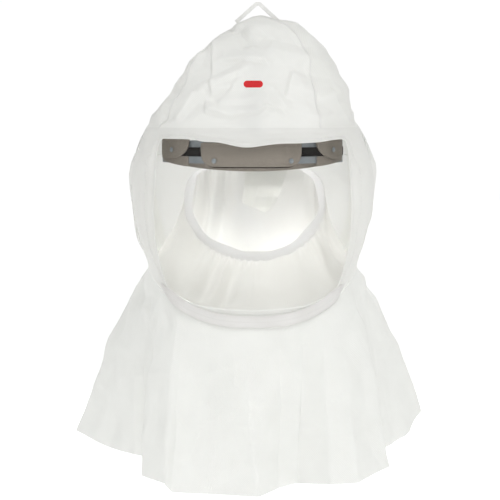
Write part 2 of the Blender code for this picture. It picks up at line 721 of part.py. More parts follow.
def build_crown_straps():
    """The straps and the pad over the head, which slide up and down in the headband's ears."""
    face = BAND_HALF_WIDTH - BAND_THICKNESS - GAP
    arc = []
    for angle in spread(0, 180, 25):
        turn = math.radians(angle)
        arc.append(Vector((face * math.cos(turn), EAR_Y,
                           CROWN_STRAP_SPRING_Z + CROWN_STRAP_RISE * math.sin(turn))))
    tab_end = -0.1465
    cross = strap_over("crown_strap_cross", arc, [(face, EAR_Y, tab_end)],
                       [(-face, EAR_Y, tab_end)], (0, 1, 0), 0.014, grey_plastic())
    for side, word in ((-1, "left"), (1, "right")):
        peg_z = -0.1400
        hole = turned(f"peg_hole_{word}", disc_profile(0.0021, 0.0080),
                      (side * face, EAR_Y, peg_z), (1, 0, 0), None, sides=12, collection=CUTTERS)
        combine(cross, hole, "DIFFERENCE")
        outer = BAND_THICKNESS + CROWN_STRAP_THICKNESS + 3 * GAP
        profile = [(0.0, outer + 0.0010), (0.0030, outer + 0.0010), (0.0034, outer + 0.0006),
                   (0.0034, outer), (0.0017, outer), (0.0017, 0.0), (0.0034, 0.0),
                   (0.0034, -0.0008), (0.0028, -0.0012), (0.0, -0.0012)]
        turned(f"crown_peg_{word}", profile,
               (side * (face - CROWN_STRAP_THICKNESS - GAP), EAR_Y, peg_z), (side, 0, 0),
               dark_plastic(), sides=16)

    top = CROWN_STRAP_SPRING_Z + CROWN_STRAP_RISE + GAP + CROWN_STRAP_THICKNESS
    flat_tab = 0.0006            # room for a flat tab behind the curved band
    depth = BAND_FRONT_DEPTH - BAND_CENTRE_Y - BAND_THICKNESS - GAP - flat_tab
    spring = -0.1460
    front_arc = [Vector((0.0, 0.0100, top))]
    for angle in spread(90, 0, 15):
        turn = math.radians(angle)
        front_arc.append(Vector((0.0, -depth * math.cos(turn),
                                 spring + (top - spring) * math.sin(turn))))
    strap_over("crown_strap_front", front_arc, [], [(0.0, -depth, -0.1660)],
               (-1, 0, 0), CROWN_STRAP_WIDTH, grey_plastic())
    pad_top = CROWN_STRAP_SPRING_Z + CROWN_STRAP_RISE - CROWN_STRAP_THICKNESS - 0.0022
    box("crown_pad", (-0.021, -0.020, pad_top - 0.0060), (0.021, 0.020, pad_top),
        taupe_pad(), bevel=0.0020)


def build_hood_tabs():
    """Short fabric tabs that tie the headband's arms to the hood's sides."""
    start = BAND_HALF_WIDTH + GAP
    for side, word in ((-1, "left"), (1, "right")):
        x_low, x_high = sorted((side * start, side * 0.1208))
        box(f"hood_tab_{word}", (x_low, 0.030, -0.1660), (x_high, 0.045, -0.1648),
            white_fabric())


# ---- air inlet ------------------------------------------------------------------------------
def inlet_path(start_y, extend_out=0.0):
    """Centre line of the elbow: straight back through the hood, then down."""
    points = [Vector((0.0, start_y, INLET_Z)), Vector((0.0, 0.1400, INLET_Z))]
    for angle in spread(0, 90, 9):
        turn = math.radians(angle)
        points.append(Vector((0.0, INLET_BEND_Y + INLET_BEND * math.sin(turn),
                              INLET_Z - INLET_BEND * (1 - math.cos(turn)))))
    points.append(Vector((0.0, INLET_BEND_Y + INLET_BEND, INLET_END_Z - extend_out)))
    return points


def ring(name, inner, outer, low, high, centre, axis, stock, chamfer=0.0006, sides=24):
    """A flat ring between two heights along its axis."""
    profile = [(inner, high), (outer - chamfer, high), (outer, high - chamfer),
               (outer, low + chamfer), (outer - chamfer, low), (inner, low)]
    return turned(name, profile, centre, axis, stock, sides=sides)


def build_inlet():
    """The moulded inlet: a flat plenum inside the hood and an elbow for the breathing tube."""
    wall = PLENUM_WALL
    plenum = box("inlet_plenum", (-0.033, PLENUM_FRONT_Y, -0.2460),
                 (0.033, PLENUM_BACK_Y, -0.2050), grey_plastic())
    cavity = box("plenum_cavity", (-0.033 + wall, PLENUM_FRONT_Y + wall, -0.2460 + wall),
                 (0.033 - wall, PLENUM_BACK_Y - wall, -0.2000), None, collection=CUTTERS)
    port = turned("plenum_port", disc_profile(INLET_BORE, 0.0100),
                  (0.0, PLENUM_BACK_Y, INLET_Z), (0, 1, 0), None, sides=24, collection=CUTTERS)
    combine(plenum, cavity, "DIFFERENCE")
    combine(plenum, port, "DIFFERENCE")
    elbow = tube("inlet_elbow", inlet_path(PLENUM_BACK_Y + GAP), INLET_RADIUS, grey_plastic(),
                 sides=5)
    bore = tube("inlet_bore", inlet_path(PLENUM_BACK_Y - 0.004, 0.0100), INLET_BORE, None,
                sides=5, collection=CUTTERS)
    combine(elbow, bore, "DIFFERENCE")

    ring("inlet_clamp_ring", INLET_RADIUS + GAP, 0.0265, 0.0, 0.0045,
         (0.0, 0.1385, INLET_Z), (0, 1, 0), grey_plastic())
    end_y = INLET_BEND_Y + INLET_BEND
    ring("inlet_collar", INLET_RADIUS + GAP, 0.0222, 0.0, 0.0140,
         (0.0, end_y, INLET_END_Z + 0.0110), (0, 0, 1), dark_plastic())
    seal = [(INLET_RADIUS + 0.0013 + 0.0010 * math.cos(angle), -0.0010 * math.sin(angle))
            for angle in [2 * math.pi * k / 6 for k in range(6)]]
    turned("inlet_seal", seal, (0.0, end_y, INLET_END_Z + 0.0060), (0, 0, 1), rubber_seal())


def build_air_duct():
    """The flat fabric duct from the inlet up the back and over the crown to the brow."""
    path = [Vector(p) for p in ((0.1223, -0.2045), (0.1215, -0.1700), (0.1190, -0.1350),
                                (0.1080, -0.1030), (0.0850, -0.0720), (0.0530, -0.0535),
                                (0.0120, -0.0460), (-0.0240, -0.0510), (-0.0430, -0.0600))]
    half_width, half_height = 0.031, 0.0060
    lines = []
    for k, centre in enumerate(path):
        along = (path[min(k + 1, len(path) - 1)] - path[max(k - 1, 0)]).normalized()
        out = Vector((-along.y, along.x))
        if k == 0:
            out = Vector((-1.0, 0.0))
        line = []
        for azimuth in spread(0, 337.5, 16):
            turn = math.radians(azimuth)
            c, s = math.cos(turn), math.sin(turn)
            x = half_width * math.copysign(abs(c) ** 0.6, c)
            lift = half_height * math.copysign(abs(s) ** 0.6, s)
            line.append(Vector((x, centre.x + out.x * lift, centre.y + out.y * lift)))
        lines.append(line)
    sheet("air_duct", lines, 0.0010, white_fabric(), wrap=True)


build_crown()
build_hood_body()
build_visor()
build_chin_lip()
build_cape()
build_neck_seal()
build_inlet_flap()
build_hang_loop()
build_headband()
build_nape()
build_crown_straps()
build_hood_tabs()
build_inlet()
build_air_duct()
for part in [*HOOD.objects, *CUTTERS.objects]:
    part.location.x -= HOOK_OFFSET
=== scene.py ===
"""The looks of the respirator hood: crinkled coated fabric, clear visor, pads, seams and light."""
import json
import math

import bmesh
import bpy
import numpy as np
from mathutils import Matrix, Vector


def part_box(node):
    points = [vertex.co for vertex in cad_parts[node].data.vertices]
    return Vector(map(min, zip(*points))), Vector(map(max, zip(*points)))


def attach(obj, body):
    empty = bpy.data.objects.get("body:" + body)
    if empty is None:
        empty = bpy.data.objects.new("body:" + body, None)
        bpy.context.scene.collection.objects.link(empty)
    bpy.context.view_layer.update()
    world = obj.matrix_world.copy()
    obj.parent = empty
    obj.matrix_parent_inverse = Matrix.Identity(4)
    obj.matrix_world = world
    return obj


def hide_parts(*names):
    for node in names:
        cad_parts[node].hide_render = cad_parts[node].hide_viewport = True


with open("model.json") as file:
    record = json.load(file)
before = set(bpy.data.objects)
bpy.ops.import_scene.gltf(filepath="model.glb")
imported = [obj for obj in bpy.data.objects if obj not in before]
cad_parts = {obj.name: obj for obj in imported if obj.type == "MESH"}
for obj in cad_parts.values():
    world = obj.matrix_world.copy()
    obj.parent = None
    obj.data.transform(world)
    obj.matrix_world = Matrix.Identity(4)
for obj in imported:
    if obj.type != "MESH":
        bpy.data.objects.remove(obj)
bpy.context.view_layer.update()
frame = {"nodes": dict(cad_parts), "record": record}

# ---- the hood's form, in metres, repeated from the CAD model ---------------------------------
HOOK_OFFSET = 0.0058         # the loop's top is this far to the right of the hood's middle
# Sections from the crown down: height, half width, front y, back y, centre x, roundness.
HOOD_SECTIONS = np.array((
    (-0.0165, 0.001, -0.001, 0.001, 0.007, 2.0),
    (-0.0180, 0.009, -0.009, 0.011, 0.008, 2.0),
    (-0.0250, 0.034, -0.024, 0.045, 0.013, 2.0),
    (-0.0400, 0.055, -0.042, 0.078, 0.013, 2.1),
    (-0.0640, 0.075, -0.066, 0.100, 0.010, 2.2),
    (-0.0900, 0.088, -0.086, 0.115, 0.007, 2.3),
    (-0.1160, 0.103, -0.102, 0.126, 0.002, 2.4),
    (-0.1450, 0.119, -0.115, 0.133, 0.000, 2.5),
    (-0.1820, 0.130, -0.127, 0.137, 0.000, 2.6),
    (-0.2200, 0.129, -0.134, 0.137, 0.000, 2.6),
    (-0.2550, 0.121, -0.139, 0.132, 0.000, 2.6),
    (-0.2840, 0.112, -0.142, 0.125, 0.000, 2.6),
    (-0.3400, 0.112, -0.147, 0.115, 0.000, 2.6),
))
CROWN_TOP_Z = -0.0166
BROW_SEAM_Z = -0.135
NECK_SEAM_Z = -0.284
CHIN_DROP = 0.052
SURROUND_EDGE = 78.0
HOOD_SIDE_EDGE = 128.0
LEFT_SEAM = (-66.0, -56.0)   # azimuth of the crown's front seams at the top and at the brow
RIGHT_SEAM = (44.0, 33.0)
CROWN_BACK_SEAM = 105.0

# Visor window: right half from the top centre to the bottom centre, x and z.
WINDOW_OUTLINE = np.array((
    (0.000, -0.1470), (0.050, -0.1465), (0.086, -0.1460), (0.0970, -0.1520), (0.1000, -0.1850),
    (0.1015, -0.2250), (0.0985, -0.2600), (0.0880, -0.2960), (0.0730, -0.3090),
    (0.0450, -0.3160), (0.000, -0.3190),
))
WINDOW_MIDDLE_Z = -0.235

NECK_CENTRE = np.array((0.0025, 0.0358, -0.2160))   # middle of the neck opening's widest line
NECK_HALF_WIDTH = 0.0685
NECK_FRONT_LENGTH = 0.082
NECK_BACK_LENGTH = 0.056
NECK_BACK_ROUNDNESS = 3.2
NECK_TILT = math.radians(41)
FLAP_LEFT_X = -0.0070        # the inlet flap's upper corners on the neck opening
FLAP_RIGHT_X = 0.0410

# Centre line of the air duct, y and z, from the inlet up the back and over the crown.
DUCT_PATH = np.array((
    (0.1223, -0.2045), (0.1215, -0.1700), (0.1190, -0.1350), (0.1080, -0.1030), (0.0850, -0.0720),
    (0.0530, -0.0535), (0.0120, -0.0460), (-0.0240, -0.0510), (-0.0430, -0.0600),
))

DUCT_HALF_WIDTH = 0.031
DUCT_HALF_HEIGHT = 0.0060

BAND_HALF_WIDTH = 0.096
BAND_FRONT_DEPTH = 0.083
BAND_CENTRE_Y = -0.022
PAD_OUT = 0.0046             # outer face of the pads, from the band's outer face

# Hem of the cape: azimuth of the fold line on the neck seam, then its foot, x, y and z.
HEM_FOLDS = np.array((
    (-172, -0.020, 0.178, -0.488), (-160, -0.052, 0.188, -0.488), (-147, -0.090, 0.156, -0.487),
    (-134, -0.128, 0.172, -0.486), (-121, -0.138, 0.128, -0.485), (-109, -0.184, 0.104, -0.476),
    (-97, -0.197, 0.050, -0.472), (-86, -0.158, -0.004, -0.482), (-78, -0.130, -0.044, -0.484),
    (-70, -0.113, -0.052, -0.486), (-62, -0.102, -0.080, -0.488), (-54, -0.114, -0.130, -0.491),
    (-37, -0.089, -0.162, -0.494), (-33, -0.083, -0.158, -0.503), (-20, -0.044, -0.158, -0.505),
    (-4, 0.006, -0.174, -0.505), (9, 0.026, -0.148, -0.501), (22, 0.046, -0.146, -0.496),
    (33, 0.080, -0.172, -0.493), (45, 0.107, -0.166, -0.492), (52, 0.125, -0.146, -0.486),
    (59, 0.143, -0.126, -0.482), (67, 0.126, -0.078, -0.482), (76, 0.139, -0.040, -0.478),
    (84, 0.164, -0.008, -0.469), (94, 0.189, 0.030, -0.446), (102, 0.172, 0.070, -0.470),
    (112, 0.180, 0.104, -0.482), (122, 0.138, 0.124, -0.486), (134, 0.148, 0.168, -0.487),
    (147, 0.098, 0.152, -0.488), (160, 0.060, 0.188, -0.488), (173, 0.014, 0.164, -0.488),
))


# ---- arithmetic on surfaces -----------------------------------------------------------------
def through(before, start, end, after, t):
    """A smooth curve between start and end that heads for its neighbours."""
    step_in, step_out = (end - before) / 2, (after - start) / 2
    return ((2 * t**3 - 3 * t**2 + 1) * start + (t**3 - 2 * t**2 + t) * step_in
            + (3 * t**2 - 2 * t**3) * end + (t**3 - t**2) * step_out)


def smooth_table(table, keys):
    """Rows of a table, without its ascending first column, on smooth curves at the keys."""
    first, rest = table[:, 0], table[:, 1:]
    last = len(first) - 1
    keys = np.clip(keys, first[0], first[-1])
    k = np.clip(np.searchsorted(first, keys, side="right") - 1, 0, last - 1)
    t = ((keys - first[k]) / np.diff(first)[k])[..., None]
    return through(*(rest[np.clip(k + step, 0, last)] for step in (-1, 0, 1, 2)), t)


def power_of(value, power):
    """A power that keeps the value's sign, for rounded-off squares."""
    return np.sign(value) * np.abs(value) ** power


def oval(azimuth, half_width, front, back, centre_x, roundness, inset=0.0):
    """x and y on a rounded section; azimuth in degrees, 0 at the front, + towards +X."""
    s, c = np.sin(np.radians(azimuth)), np.cos(np.radians(azimuth))
    depth = np.where(c > 0, -front, back) - inset
    x = centre_x + (half_width - inset) * power_of(s, 2.0 / roundness)
    return x, -depth * power_of(c, 2.0 / roundness)


def hood_surface(azimuth, height, inset=0.0):
    """Points of the hood's smooth form, in the frame of the CAD model."""
    azimuth, height = np.broadcast_arrays(np.asarray(azimuth, float), np.asarray(height, float))
    rows = smooth_table(HOOD_SECTIONS[::-1], height)
    x, y = oval(azimuth, *np.moveaxis(rows, -1, 0), inset=inset)
    return np.stack((x - HOOK_OFFSET, y, height), axis=-1)


def unit(vectors):
    return vectors / np.maximum(np.linalg.norm(vectors, axis=-1, keepdims=True), 1e-12)


def arc_length(path):
    """Distance run along a path at each of its points."""
    return np.concatenate(([0.0], np.cumsum(np.linalg.norm(np.diff(path, axis=0), axis=1))))


def full_turn(count, turn=2 * math.pi):
    """Angles that divide a whole turn evenly."""
    return np.linspace(0.0, turn, count + 1)[:-1]


def grid_normals(points, wrap=False):
    """Outward normals of a grid whose rows go down and whose columns go towards +X."""
    if wrap:
        across = np.roll(points, -1, axis=1) - np.roll(points, 1, axis=1)
    else:
        across = np.gradient(points, axis=1)
    down = np.gradient(points, axis=0)
    return unit(np.cross(down, across))


def ease(value, low=0.0, high=1.0):
    t = np.clip((value - low) / (high - low), 0.0, 1.0)
    return t * t * (3 - 2 * t)


def line_distance(x, z, line):
    """Distance from a polyline in the front view, its side, and the share of it run."""
    line = np.asarray(line, float)
    starts = arc_length(line)
    best = np.full(x.shape, 1e9)
    side, run = np.zeros(x.shape), np.zeros(x.shape)
    for k, (a, b) in enumerate(zip(line, line[1:])):
        ab = b - a
        t = np.clip(((x - a[0]) * ab[0] + (z - a[1]) * ab[1]) / (ab @ ab), 0.0, 1.0)
        dx, dz = x - a[0] - ab[0] * t, z - a[1] - ab[1] * t
        away = np.hypot(dx, dz)
        near = away < best
        best = np.where(near, away, best)
        side = np.where(near, np.sign(ab[0] * dz - ab[1] * dx), side)
        run = np.where(near, (starts[k] + t * (starts[k + 1] - starts[k])) / starts[-1], run)
    return best, side, run


def tent(distance, width):
    return np.clip(1.0 - distance / width, 0.0, 1.0)


def lap(distance, side, width, lip=0.0030):
    """Cloth that swells towards a fold line on one side and drops away past it."""
    return np.where(side > 0, np.exp(-distance / width), tent(distance, lip))


# Folds of the crown in the front view: points (x, z), form, height and width.
CROWN_FOLDS = (
    (((-0.016, -0.027), (-0.009, -0.040), (-0.001, -0.053)), "tent", -0.0040, 0.009),
    (((0.014, -0.034), (0.003, -0.054)), "tent", -0.0026, 0.012),
    (((-0.030, -0.028), (-0.014, -0.033)), "tent", -0.0022, 0.006),
    (((-0.040, -0.040), (-0.041, -0.066), (-0.042, -0.106)), "lap", 0.0030, 0.014),
    (((-0.038, -0.066), (-0.013, -0.065), (0.010, -0.066), (0.022, -0.071)), "lap", 0.0036, 0.013),
    (((-0.064, -0.102), (-0.040, -0.092), (-0.012, -0.079), (0.006, -0.068)),
     "tent", 0.0034, 0.010),
    (((-0.056, -0.100), (-0.032, -0.091), (-0.008, -0.083)), "tent", -0.0026, 0.005),
    (((-0.049, -0.101), (-0.047, -0.1175), (-0.024, -0.1235), (0.003, -0.119), (0.014, -0.113),
      (0.028, -0.119), (0.042, -0.129)), "lap", 0.0050, 0.018),
    (((-0.044, -0.106), (-0.034, -0.1145), (-0.008, -0.1135), (0.006, -0.111)),
     "tent", -0.0022, 0.006),
    (((0.042, -0.074), (0.038, -0.090), (0.034, -0.108)), "lap", 0.0030, 0.010),
    (((0.018, -0.088), (0.026, -0.104), (0.036, -0.122)), "tent", 0.0026, 0.009),
    (((0.052, -0.060), (0.064, -0.092), (0.071, -0.128)), "tent", -0.0024, 0.012),
    (((0.060, -0.048), (0.078, -0.080), (0.090, -0.112)), "tent", 0.0036, 0.016),
    (((0.112, -0.134), (0.098, -0.128), (0.088, -0.116), (0.074, -0.094)), "lap", 0.0052, 0.013),
    (((-0.058, -0.096), (-0.070, -0.113), (-0.082, -0.130)), "tent", 0.0034, 0.007),
    (((-0.050, -0.052), (-0.066, -0.078), (-0.084, -0.100)), "tent", 0.0030, 0.006),
    (((-0.088, -0.108), (-0.098, -0.120), (-0.106, -0.134)), "tent", 0.0028, 0.008),
)


def crumple(points, seed, count=7, wavelength=(0.035, 0.090)):
    """Crisp straight creases in many directions, each fading in and out over the cloth."""
    draw = np.random.default_rng(seed)
    total = np.zeros(points.shape[:-1])
    for _ in range(count):
        direction = unit(draw.normal(size=3))
        pitch = draw.uniform(*wavelength)
        wave = np.abs(np.mod(points @ direction / pitch + draw.uniform(), 1.0) - 0.5) * 2 - 0.5
        patch = np.ones(points.shape[:-1])
        for _ in range(2):
            drift = unit(draw.normal(size=3)) / draw.uniform(0.012, 0.022)
            patch = patch * (0.5 + 0.5 * np.sin(points @ drift + draw.uniform(0, 6.3)))
        total += wave * patch * pitch / wavelength[1]
    return total


def crown_relief(points, normals):
    """Height of the crown's folds above its smooth form."""
    x, z = points[..., 0] + HOOK_OFFSET, points[..., 2]
    facing = ease(-normals[..., 1], -0.05, 0.30)
    height = np.zeros(x.shape)
    for line, form, rise, width in CROWN_FOLDS:
        distance, side, run = line_distance(x, z, line)
        fade = ease(run, -0.001, 0.18) * ease(1 - run, -0.001, 0.18)
        shape = tent(distance, width) if form == "tent" else lap(distance, side, width)
        height += rise * shape * np.maximum(fade, 0.0)
    hump = np.exp(-(((x - 0.006) / 0.020) ** 2 + ((z + 0.028) / 0.016) ** 2))
    height = (1.2 * height + 0.0030 * hump) * facing
    height += 0.0085 * crumple(points, 11) + 0.0022 * crumple(points, 12, 7, (0.016, 0.034))
    return height * ease(z, BROW_SEAM_Z, BROW_SEAM_Z + 0.012) * ease(-z, 0.018, 0.030)


# ---- meshes ---------------------------------------------------------------------------------
def add_mesh(name, vertices, faces, material, uvs=None):
    """A smooth-shaded mesh object; uvs are in metres of cloth, one for each vertex."""
    mesh = bpy.data.meshes.new(name)
    mesh.from_pydata([tuple(map(float, v)) for v in vertices], [], faces)
    if uvs is not None:
        layer = mesh.uv_layers.new(name="cloth")
        corner = np.empty(len(mesh.loops), dtype=np.int32)
        mesh.loops.foreach_get("vertex_index", corner)
        layer.data.foreach_set("uv", np.asarray(uvs, dtype=np.float32)[corner].ravel())
    mesh.shade_smooth()
    mesh.materials.append(material)
    piece = bpy.data.objects.new(name, mesh)
    bpy.context.scene.collection.objects.link(piece)
    return piece


def grid_faces(rows, columns, wrap=False):
    faces = []
    for i in range(rows - 1):
        for j in range(columns if wrap else columns - 1):
            k = (j + 1) % columns
            faces.append((i * columns + j, (i + 1) * columns + j,
                          (i + 1) * columns + k, i * columns + k))
    return faces


def tube_faces(count, ring, base=0):
    """Walls and two end caps of a tube of rings."""
    faces = []
    for i in range(count - 1):
        for j in range(ring):
            k = (j + 1) % ring
            faces.append((i * ring + j, i * ring + k, (i + 1) * ring + k, (i + 1) * ring + j))
    faces.append(tuple(range(ring - 1, -1, -1)))
    faces.append(tuple(range((count - 1) * ring, count * ring)))
    return [tuple(base + corner for corner in face) for face in faces]


def face_outward(piece, hole=None):
    """Turn every face outward, and first close the hole round a point, if one is given."""
    work = bmesh.new()
    work.from_mesh(piece.data)
    if hole is not None:
        middle, reach = Vector(hole[0]), hole[1]
        edges = [edge for edge in work.edges if edge.is_boundary
                 and all((middle - corner.co).length < reach for corner in edge.verts)]
        bmesh.ops.holes_fill(work, edges=edges)
    bmesh.ops.recalc_face_normals(work, faces=work.faces)
    work.to_mesh(piece.data)
    work.free()


def cloth_uvs(points):
    """Distances along and down the cloth for a grid of points."""
    across = np.linalg.norm(np.diff(points, axis=1), axis=-1)
    down = np.linalg.norm(np.diff(points, axis=0), axis=-1)
    u = np.concatenate((np.zeros((len(points), 1)), np.cumsum(across, axis=1)), axis=1)
    v = np.concatenate((np.zeros((1, points.shape[1])), np.cumsum(down, axis=0)), axis=0)
    u = u - u.mean(axis=1, keepdims=True)
    return np.stack((u, np.broadcast_to(v.mean(axis=1, keepdims=True), u.shape)),
                    axis=-1).reshape(-1, 2)


def cloth_grid(name, points, material, wrap=False, thickness=0.0, offset=-1.0, uvs=None):
    """A single layer of cloth through a grid of points, or a solid one of a thickness."""
    rows, columns = points.shape[:2]
    if uvs is None:
        uvs = cloth_uvs(points)
    piece = add_mesh(name, points.reshape(-1, 3), grid_faces(rows, columns, wrap), material, uvs)
    if thickness:
        solid = piece.modifiers.new("thickness", "SOLIDIFY")
        solid.thickness = thickness
        solid.offset = offset
    return piece


def swept(name, path, section, material, side, up):
    """A section carried along a path, with its side and up directions at each point."""
    vertices = (path[:, None, :] + section[None, :, 0:1] * side[:, None, :]
                + section[None, :, 1:2] * up[:, None, :])
    around = np.linspace(0.0, np.abs(section).max() * 4, len(section))[None, :]
    uvs = np.stack(np.broadcast_arrays(arc_length(path)[:, None], around), axis=-1)
    return add_mesh(name, vertices.reshape(-1, 3), tube_faces(len(path), len(section)), material,
                    uvs.reshape(-1, 2))


def tangents(path):
    return unit(np.gradient(path, axis=0))


def stitches(name, path, normals, radius, pitch=0.0042, length=0.0026):
    """A row of thread stitches lying on a seam."""
    run = arc_length(path)
    along = tangents(path)
    vertices, faces = [], []
    for start in np.arange(pitch / 2, run[-1] - pitch / 2, pitch):
        centre, axis, up = (np.array([np.interp(start, run, values[:, k]) for k in range(3)])
                            for values in (path, along, normals))
        axis, up = unit(axis), unit(up)
        side = unit(np.cross(axis, up))
        faces += tube_faces(4, 6, len(vertices))
        for share, thick in ((-0.5, 0.35), (-0.28, 1.0), (0.28, 1.0), (0.5, 0.35)):
            for angle in full_turn(6):
                outward = side * math.cos(angle) * 1.3 + up * math.sin(angle)
                vertices.append(centre + axis * share * length + radius * thick * outward)
    return stand_for(add_mesh(name, vertices, faces, THREAD))


def stand_for(piece, body="hood", nodes=()):
    """A piece rides on its body and replaces its CAD nodes."""
    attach(piece, body)
    if nodes:
        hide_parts(*nodes)
    return piece


def cut_panel(name, points, material, nodes, held, rests_on, slot="white_fabric", **grid):
    """A panel of cloth through a grid of points, riding on the hood in place of its CAD nodes."""
    piece = cloth_grid(name, points, material, **grid)
    stand_for(piece, nodes=nodes)


# ---- materials ------------------------------------------------------------------------------
def new_material(name):
    made = bpy.data.materials.new(name)
    made.use_nodes = True
    tree = made.node_tree
    return made, tree, tree.nodes["Principled BSDF"], tree.nodes["Material Output"]


def fill(tree, made, inputs):
    """Set a node's inputs, or link those whose value is another node's output."""
    for key, value in inputs.items():
        if isinstance(value, bpy.types.NodeSocket):
            tree.links.new(value, made.inputs[key])
        else:
            made.inputs[key].default_value = value


def node(tree, kind, inputs, **settings):
    made = tree.nodes.new("ShaderNode" + kind)
    for key, value in settings.items():
        setattr(made, key, value)
    fill(tree, made, inputs)
    return made


def calc(tree, operation, *values):
    return node(tree, "Math", dict(enumerate(values)), operation=operation).outputs[0]


def coordinates(tree, kind):
    return node(tree, "TexCoord", {}).outputs[kind]


def split(tree, vector):
    return node(tree, "SeparateXYZ", {0: vector}).outputs


def noise(tree, place, scale, detail=2.0):
    return node(tree, "TexNoise", {"Vector": place, "Scale": scale, "Detail": detail}).outputs["Fac"]


def bump(tree, height, strength, distance):
    return node(tree, "Bump", {"Height": height, "Strength": strength,
                               "Distance": distance}).outputs[0]


def ramp(tree, source, low, high, start=0.0, end=1.0):
    made = node(tree, "ValToRGB", {"Fac": source})
    for element, place, colour in zip(made.color_ramp.elements, (start, end), (low, high)):
        element.position = place
        element.color = (*colour, 1.0)
    return made.outputs["Color"]


def cloth_dots(tree, pitch):
    """A fine raised grid of dots, from the cloth's own measure."""
    parts = split(tree, coordinates(tree, "UV"))
    waves = (calc(tree, "SINE", calc(tree, "MULTIPLY", parts[axis], 2 * math.pi / pitch))
             for axis in "XY")
    return calc(tree, "MULTIPLY", *waves)


def fabric(name, dark, light, translucency, pitch=0.0023, mark=None):
    """Coated nonwoven: embossed dots, faint mottling, and light that comes through."""
    made, tree, shader, output = new_material(name)
    dots = cloth_dots(tree, pitch)
    place = coordinates(tree, "Object")
    mottled = ramp(tree, noise(tree, place, 38.0, 5.0), dark, light, 0.30, 0.70)
    dotted = calc(tree, "MULTIPLY_ADD", dots, 0.030, 0.970)
    colour = node(tree, "VectorMath", {0: mottled, "Scale": dotted}, operation="SCALE").outputs[0]
    if mark:
        colour = printed_bar(tree, colour, *mark)
    relief = calc(tree, "MULTIPLY_ADD", dots, 0.55, noise(tree, place, 900.0, 3.0))
    fill(tree, shader, {"Base Color": colour, "Roughness": 0.55, "Specular IOR Level": 0.35,
                        "Normal": bump(tree, relief, 0.60, 0.00036)})
    let_through = node(tree, "BsdfTranslucent", {"Color": colour})
    blend = node(tree, "MixShader", {0: translucency, 1: shader.outputs[0],
                                     2: let_through.outputs[0]})
    fill(tree, output, {"Surface": blend.outputs[0]})
    return made


def printed_bar(tree, colour, centre, half_size, ink):
    """A plain printed bar with rounded ends, on the front of the cloth only."""
    parts = split(tree, coordinates(tree, "Object"))
    across = calc(tree, "ABSOLUTE", calc(tree, "SUBTRACT", parts["X"], centre[0]))
    beyond = calc(tree, "SUBTRACT", across, half_size[0] - half_size[1])
    past = calc(tree, "MAXIMUM", beyond, 0.0)
    up = calc(tree, "SUBTRACT", parts["Z"], centre[1])
    total = calc(tree, "ADD", calc(tree, "MULTIPLY", past, past), calc(tree, "MULTIPLY", up, up))
    inside = calc(tree, "LESS_THAN", total, half_size[1] ** 2)
    front = calc(tree, "LESS_THAN", parts["Y"], 0.0)
    both = calc(tree, "MULTIPLY", inside, front)
    return node(tree, "Mix", {0: both, 6: colour, 7: (*ink, 1.0)}, data_type="RGBA").outputs[2]


def plastic(name, dark, light, roughness):
    """Moulded plastic with a fine spark-eroded grain and faint wear."""
    made, tree, shader, _ = new_material(name)
    place = coordinates(tree, "Object")
    wear = noise(tree, place, 55.0, 6.0)
    fill(tree, shader, {"Base Color": ramp(tree, wear, dark, light, 0.35, 0.68),
                        "Roughness": calc(tree, "MULTIPLY_ADD", wear, 0.18, roughness - 0.09),
                        "Normal": bump(tree, noise(tree, place, 700.0), 0.4, 0.00006)})
    return made


def webbing(name, dark, light, pitch, sheen=0.3, specular=0.3):
    """Woven or knitted tape: rows of threads across and along."""
    made, tree, shader, _ = new_material(name)
    fuzz = noise(tree, coordinates(tree, "Object"), 420.0, 4.0)
    total = calc(tree, "MULTIPLY_ADD", cloth_dots(tree, pitch), 0.25, fuzz)
    fill(tree, shader, {"Base Color": ramp(tree, total, dark, light, 0.2, 0.8),
                        "Roughness": 0.75, "Sheen Weight": sheen, "Specular IOR Level": specular,
                        "Normal": bump(tree, total, 0.6, 0.0002)})
    return made


def clear_film(name):
    """Clear flexible sheet: mostly see-through, with a soft gloss and a faint haze."""
    made, tree, shader, output = new_material(name)
    streaks = node(tree, "Mapping", {"Vector": coordinates(tree, "Object"),
                                     "Scale": (14.0, 14.0, 1.6)})
    fill(tree, shader, {"Base Color": (0.90, 0.91, 0.91, 1.0), "Roughness": 0.10})
    clear = node(tree, "BsdfTransparent", {"Color": (0.965, 0.965, 0.955, 1.0)})
    amount = calc(tree, "MULTIPLY_ADD", noise(tree, streaks.outputs[0], 3.0), 0.014, 0.002)
    blend = node(tree, "MixShader", {0: amount, 1: clear.outputs[0], 2: shader.outputs[0]})
    fill(tree, output, {"Surface": blend.outputs[0]})
    return made


CLOTH_TONES = ((0.908, 0.912, 0.882), (0.928, 0.931, 0.903))
BAR_MARK = ((0.0007 - HOOK_OFFSET, -0.0900), (0.0100, 0.0036), (0.72, 0.02, 0.025))
WHITE = fabric("coated_fabric", *CLOTH_TONES, 0.36)
CROWN_WHITE = fabric("crown_fabric", *CLOTH_TONES, 0.26, mark=BAR_MARK)
# The surround's cloth: the coated fabric with darker tones that are painted shade.
RIM_WHITE_PAINTED_SHADE = fabric("rim_fabric_painted_shade", (0.850, 0.852, 0.822), (0.872, 0.874, 0.846), 0.26)
LIP_WHITE = fabric("lip_fabric", (0.905, 0.895, 0.880), (0.945, 0.938, 0.925), 0.40)
BACK_WHITE = fabric("back_fabric", (0.915, 0.917, 0.905), (0.935, 0.937, 0.925), 0.44)
SEAL_WHITE = fabric("seal_fabric", (0.925, 0.915, 0.900), (0.955, 0.948, 0.936), 0.55)
# The cape's cloth: the coated fabric with darker tones that are painted shade.
CAPE_WHITE_PAINTED_SHADE = fabric("cape_fabric_painted_shade", (0.845, 0.852, 0.824), (0.870, 0.877, 0.850), 0.22)
TAPE_WHITE = fabric("tape_fabric", (0.90, 0.90, 0.88), (0.94, 0.94, 0.92), 0.34, pitch=0.0014)
